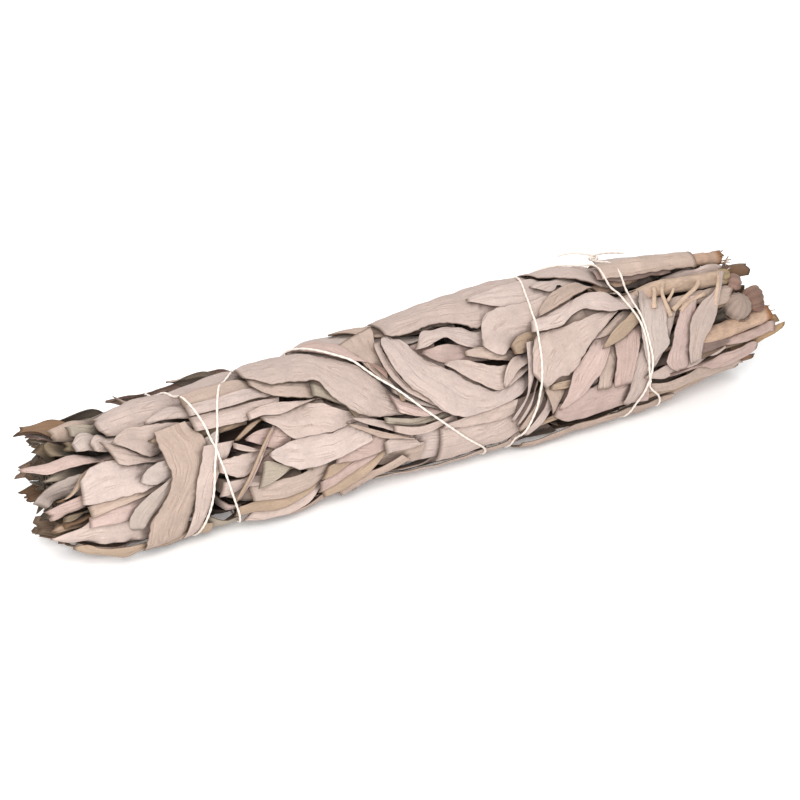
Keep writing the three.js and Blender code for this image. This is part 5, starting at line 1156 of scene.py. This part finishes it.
# Woody stems. Square sage stems with pale bark, one in each sprig; they run hidden inside the bundle and
# come out at the cut end, where they were snapped off and show frayed brown fibres round a soft middle.
def sweep(path, radius, sides, step, lobes=0, pitch=1.0, depth=0.0, ragged=0.0, seed=0):
    """A tube along a path: rings of points at equal steps of its length, square to it, on the path's own
    turning frame. The ring's radius swells with the cosine of a number of lobes that turn once round every
    pitch. The last rings can be drawn out along the path by a ragged length, and their end hollowed."""
    along = np.concatenate([[0], np.cumsum(np.linalg.norm(np.diff(path, axis=0), axis=1))])
    rings = max(int(along[-1] / step), 3)
    at = np.linspace(0, along[-1], rings)
    path = np.stack([np.interp(at, along, path[:, k]) for k in range(3)], -1)
    heading = np.gradient(path, axis=0)
    heading /= np.linalg.norm(heading, axis=1, keepdims=True)
    out = path - np.array([0, 0, axis_height / 1000])
    out[:, 0] = 0
    side = np.cross(heading, out)
    side /= np.maximum(np.linalg.norm(side, axis=1, keepdims=True), 1e-9)
    up = np.cross(side, heading)
    turn = np.linspace(0, 2 * math.pi, sides, endpoint=False)[None, :]
    size = np.interp(at / at[-1], np.linspace(0, 1, np.size(radius)), np.ravel(radius))[:, None]
    size = size * (1 + depth * np.cos(lobes * turn - 2 * math.pi * at[:, None] / pitch))
    if ragged:
        torn_draw = np.random.default_rng(seed)
        out_by = ragged * (torn_draw.random(sides) - 0.4)
        near_end = np.clip((at - at[-1] + 3 * ragged) / (3 * ragged), 0, 1)[:, None]
        size = size * (1 + 0.05 * np.cos(4 * turn) + 0.03 * np.sin(7 * turn + at[:, None] * 900)
                       + 0.05 * (np.sin(at[:, None] * 520 + 3 * seed) > 0.93))
    ring = path[:, None] + (np.cos(turn)[..., None] * side[:, None]
                            + np.sin(turn)[..., None] * up[:, None]) * size[..., None]
    if ragged:
        ring = ring + heading[:, None] * (out_by[None, :] * near_end ** 2)[..., None]
        for share, back in ((0.8, 0.0), (0.65, -1.2), (0.2, -1.3)):
            inner = path[-1] + (ring[rings - 1] - path[-1]) * share + heading[-1] * back * ragged
            ring = np.concatenate([ring, inner[None]])
        at = np.concatenate([at, at[-1] + np.array([0.0003, 0.0012, 0.0020])])
        path = np.concatenate([path, path[-1:] - heading[-1] * ragged * np.array([[0], [1.2], [1.3]])])
        rings += 3
    i, j = np.meshgrid(np.arange(rings - 1), np.arange(sides), indexing="ij")
    a, b = i * sides + j, i * sides + (j + 1) % sides
    faces = np.stack([a, b, b + sides, a + sides], -1).reshape(-1, 4)
    points = np.concatenate([ring.reshape(-1, 3), path[:1], path[-1:]])
    j = np.arange(0, sides, 2)
    start, end = rings * sides, rings * sides + 1
    last = (rings - 1) * sides
    caps = np.concatenate([
        np.stack([start + 0 * j, (j + 2) % sides, (j + 1) % sides, j], -1),
        np.stack([end + 0 * j, last + j, last + (j + 1) % sides, last + (j + 2) % sides], -1)])
    uv = np.stack([np.repeat(at * 1000, sides), np.tile(turn[0] / (2 * math.pi), rings)], -1)
    uv = np.concatenate([uv, [[0, 0], [at[-1] * 1000, 0]]])
    return points, np.concatenate([faces, caps]), uv


# Dry bark: matt, with fine dark grain along the stem and wider, weaker blotches of light and dark.
bark, tree, bark_shader = new_material("dry_sage_bark", Roughness=0.75, Specular_IOR_Level=0.3)
grain_mm, blotch_mm = 0.35, 3.0
bark_tone = add_node(tree, "ShaderNodeAttribute", attribute_name="tone")
bark_where = add_node(tree, "ShaderNodeTexCoord")
grain_run = add_node(tree, "ShaderNodeMapping", {
    "Vector": bark_where.outputs["Object"], "Scale": (0.12, 1.0, 1.0)})
grain = add_node(tree, "ShaderNodeTexNoise", {
    "Vector": grain_run.outputs["Vector"], "Scale": 1000 / grain_mm, "Detail": 4.0, "Roughness": 0.65})
blotch = add_node(tree, "ShaderNodeTexNoise", {
    "Vector": bark_where.outputs["Object"], "Scale": 1000 / blotch_mm, "Detail": 3.0})
grain_light = add_node(tree, "ShaderNodeMapRange", {
    "Value": grain.outputs["Fac"], "From Min": 0.3, "From Max": 0.7, "To Min": 0.80, "To Max": 1.10})
blotch_light = add_node(tree, "ShaderNodeMapRange", {
    "Value": blotch.outputs["Fac"], "From Min": 0.3, "From Max": 0.7, "To Min": 0.85, "To Max": 1.15})
bark_light = add_node(tree, "ShaderNodeMath", {0: grain_light.outputs[0], 1: blotch_light.outputs[0]},
                      operation="MULTIPLY")
bark_colour = add_node(tree, "ShaderNodeVectorMath", {
    0: bark_tone.outputs["Color"], "Scale": bark_light.outputs[0]}, operation="SCALE")
bark_bump = add_node(tree, "ShaderNodeBump", {
    "Height": grain.outputs["Fac"], "Strength": 0.6, "Distance": 0.0004})
tree.links.new(bark_colour.outputs[0], bark_shader.inputs["Base Color"])
tree.links.new(bark_bump.outputs["Normal"], bark_shader.inputs["Normal"])


def curve_through(points, count):
    """A smooth line through given points: the polynomial through each of their values over equal steps."""
    points = np.array(points, float)
    t = np.linspace(0, 1, len(points))
    at = np.linspace(0, 1, count)
    return [np.polyval(np.polyfit(t, values, len(points) - 1), at) for values in points.T]


# Leaf stalks that leave the second stem at its end: a radius in millimetres, and a line through places
# given by s, angle and height over the outer radius. A stalk is broader towards both of its ends.
stalks = [
    (0.65, [(185, 61, -1.2), (183.6, 55, 0.4), (182.6, 50, 0.3), (182, 44, -0.2)]),
    (0.6, [(189, 64, -0.8), (186.2, 56, 0.6), (185.6, 48.5, 0.5), (186.2, 35, 0.0)]),
    (0.65, [(200.5, 60, -1.2), (197.4, 52.5, 0.5), (194.4, 48.5, 0.4), (187.5, 39, 0.0)]),
    (0.6, [(208, 64, -0.5), (205, 52, 0.9), (203.2, 44, 0.8), (201.4, 34, 0.3)]),
    (0.45, [(191, 57, -1.2), (190, 54, -0.5), (188.8, 51, -0.5), (187, 47, -0.5)]),
    (0.6, [(200, 46, -0.8), (196, 44, -0.2), (192.5, 41, -0.2), (190, 37, -0.3)]),
]
stalk_shares = np.array([1.3, 1.0, 0.9, 1.0, 1.3])
hair_radii = np.array([0.16, 0.1])
burnt_length = 0.0018
for k, stem in enumerate(stems):
    s = np.linspace(stem_start, stem["end"], 200)
    path = place_at(s, stem["angle"] + 1.2 * np.sin(s / 9 + k), stem_middle(stem, s))
    pieces = [sweep(path, stem["radius"] * 0.94 / 1000, 20, 0.0008, ragged=0.0012, seed=k)]
    tints = [stem["bark"]]
    if k == 1:
        for size, points in stalks:
            along, around, over = curve_through(points, 40)
            pieces.append(sweep(place_at(along, around, outer_radius(along, around) + over),
                                stalk_shares * size / 1000, 8, 0.0005))
            tints.append("#c2a892")
    # Torn fibres stand out round the snapped end, with more on the stems that the photograph shows.
    hair_draw = np.random.default_rng(30 + k)
    for _ in range(14 if k in (1, 2) else 5):
        turn, reach = 2 * math.pi * hair_draw.random(), 1.2 + 2.6 * hair_draw.random()
        start = place_at(stem["end"] - 0.6, stem["angle"], stem_middle(stem, stem["end"]))
        out = np.array([0.0, math.cos(turn), math.sin(turn)]) * stem["radius"] / 1000
        t = np.linspace(0, 1, 8)[:, None]
        hair = start + out * (0.75 + 0.7 * hair_draw.random() * t ** 2) + np.array([reach / 1000, 0, 0]) * t
        pieces.append(sweep(hair, hair_radii / 1000, 5, 0.0004))
        tints.append("#c9b7a4" if hair_draw.random() < 0.5 else "#8e6440")
    points, faces, uv = joined(pieces)
    tinted = [np.tile(linear_colour(tint), (len(piece[0]), 1)) for piece, tint in zip(pieces, tints)]
    colours = np.concatenate(tinted)
    # The stem itself, the first of the pieces, turns brown towards its snapped end.
    from_end = (stem["end"] - start_s) / 1000 - points[:, 0]
    own = np.arange(len(points)) < len(pieces[0][0])
    burnt = np.clip(1 - from_end / burnt_length, 0, 1)[:, None] * own[:, None]
    colours = colours * (1 - burnt) + np.array(linear_colour("#8a5a34")) * burnt
    made = add_mesh(f"sprig_{k + 1}_woody_stem", points, faces, uv, colours)
    made.data.materials.append(bark)
    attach(made, "root")
    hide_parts(f"sprig_{k + 1}_stem")

# Thread. Unbleached two-ply cotton sewing thread, wound tightly round the bundle from a knot at the cut end
# to the leaf tips and back, crossing itself on the way. It spans the small hollows between the leaves.
thread_radius = 0.29
ply_pitch = 2.2
crossing_lift, crossing_width = 0.55, 1.3
thread_sides, thread_step, knot_step = 12, 0.00035, 0.0003
easing_steps, rising_steps = 50, 12
run_s = thread_s(thread_run)
hump = np.zeros(len(thread_run))
for turns in range(1, 6):
    earlier = thread_run + 360 * turns
    gap = np.where(earlier < thread_route[0, 0] - 8, np.abs(run_s - thread_s(earlier)), 99)
    hump = np.maximum(hump, crossing_lift * smooth_step(1 - gap / crossing_width))
outer = outer_radius(run_s, thread_run)
under_thread = np.clip(cells_round(surface, run_s, thread_run).max(axis=0), outer - 3.5, outer + 0.2)
for step in range(easing_steps):
    eased = evened(under_thread)
    under_thread = np.maximum(under_thread, eased) if step < rising_steps else eased
run_radius = np.minimum(under_thread + hump + thread_radius * 0.8, height_radius(0.36, thread_run))

twist = dict(lobes=2, pitch=ply_pitch / 1000, depth=0.16)
thread_path = place_at(run_s, thread_run, run_radius)
thread_pieces = [sweep(thread_path, thread_radius / 1000, thread_sides, thread_step, **twist)]

# The knot is a trefoil on the surface, and the thread's two ends leave it.
knot_s, knot_angle = 176.5, 112
knot_turn = np.linspace(0, 2 * math.pi, 90)
knot_size, knot_degrees = 0.48, 0.48 * 2.6
knot_path = place_at(knot_s + knot_size * (np.sin(knot_turn) + 2 * np.sin(2 * knot_turn)),
                     knot_angle + knot_degrees * (np.cos(knot_turn) - 2 * np.cos(2 * knot_turn)),
                     run_radius[0] + 0.7 - 0.5 * np.sin(3 * knot_turn))
thread_pieces.append(sweep(knot_path, thread_radius / 1000, thread_sides, knot_step, **twist))
tails = [[(knot_s, knot_angle), (180, 115), (184, 117), (187, 116)],
         [(knot_s, knot_angle), (173, 114), (170, 117), (167.5, 121)]]
for tail in tails:
    tail_s, tail_angle = curve_through(tail, 40)
    tail_radius = outer_radius(tail_s, tail_angle) + 0.5 + 0.5 * np.sin(np.linspace(0, 1, 40) * math.pi)
    tail_path = place_at(tail_s, tail_angle, tail_radius)
    thread_pieces.append(sweep(tail_path, thread_radius / 1000, thread_sides, thread_step, **twist))
thread = add_mesh("cotton_winding", *joined(thread_pieces))

# Unbleached cotton: matt, a warm white, with fine fibres that lie along the turning plies.
cotton, tree, cotton_shader = new_material("unbleached_cotton_thread", Roughness=0.9, Sheen_Weight=0.2)
fibre_mm = 0.12
cotton_uv = add_node(tree, "ShaderNodeUVMap", uv_map="blade")
fibre_run = add_node(tree, "ShaderNodeMapping", {
    "Vector": cotton_uv.outputs["UV"], "Scale": (0.25, 2.0, 1.0)})
fibre = add_node(tree, "ShaderNodeTexNoise", {
    "Vector": fibre_run.outputs["Vector"], "Scale": 1 / fibre_mm, "Detail": 2.0})
cotton_tint = add_node(tree, "ShaderNodeMix", {
    0: fibre.outputs["Fac"], 6: linear_colour("#d5c6b9"), 7: linear_colour("#ece2d9")}, data_type="RGBA")
tree.links.new(cotton_tint.outputs[2], cotton_shader.inputs["Base Color"])
thread.data.materials.append(cotton)
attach(thread, "root")
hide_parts("cotton_thread")
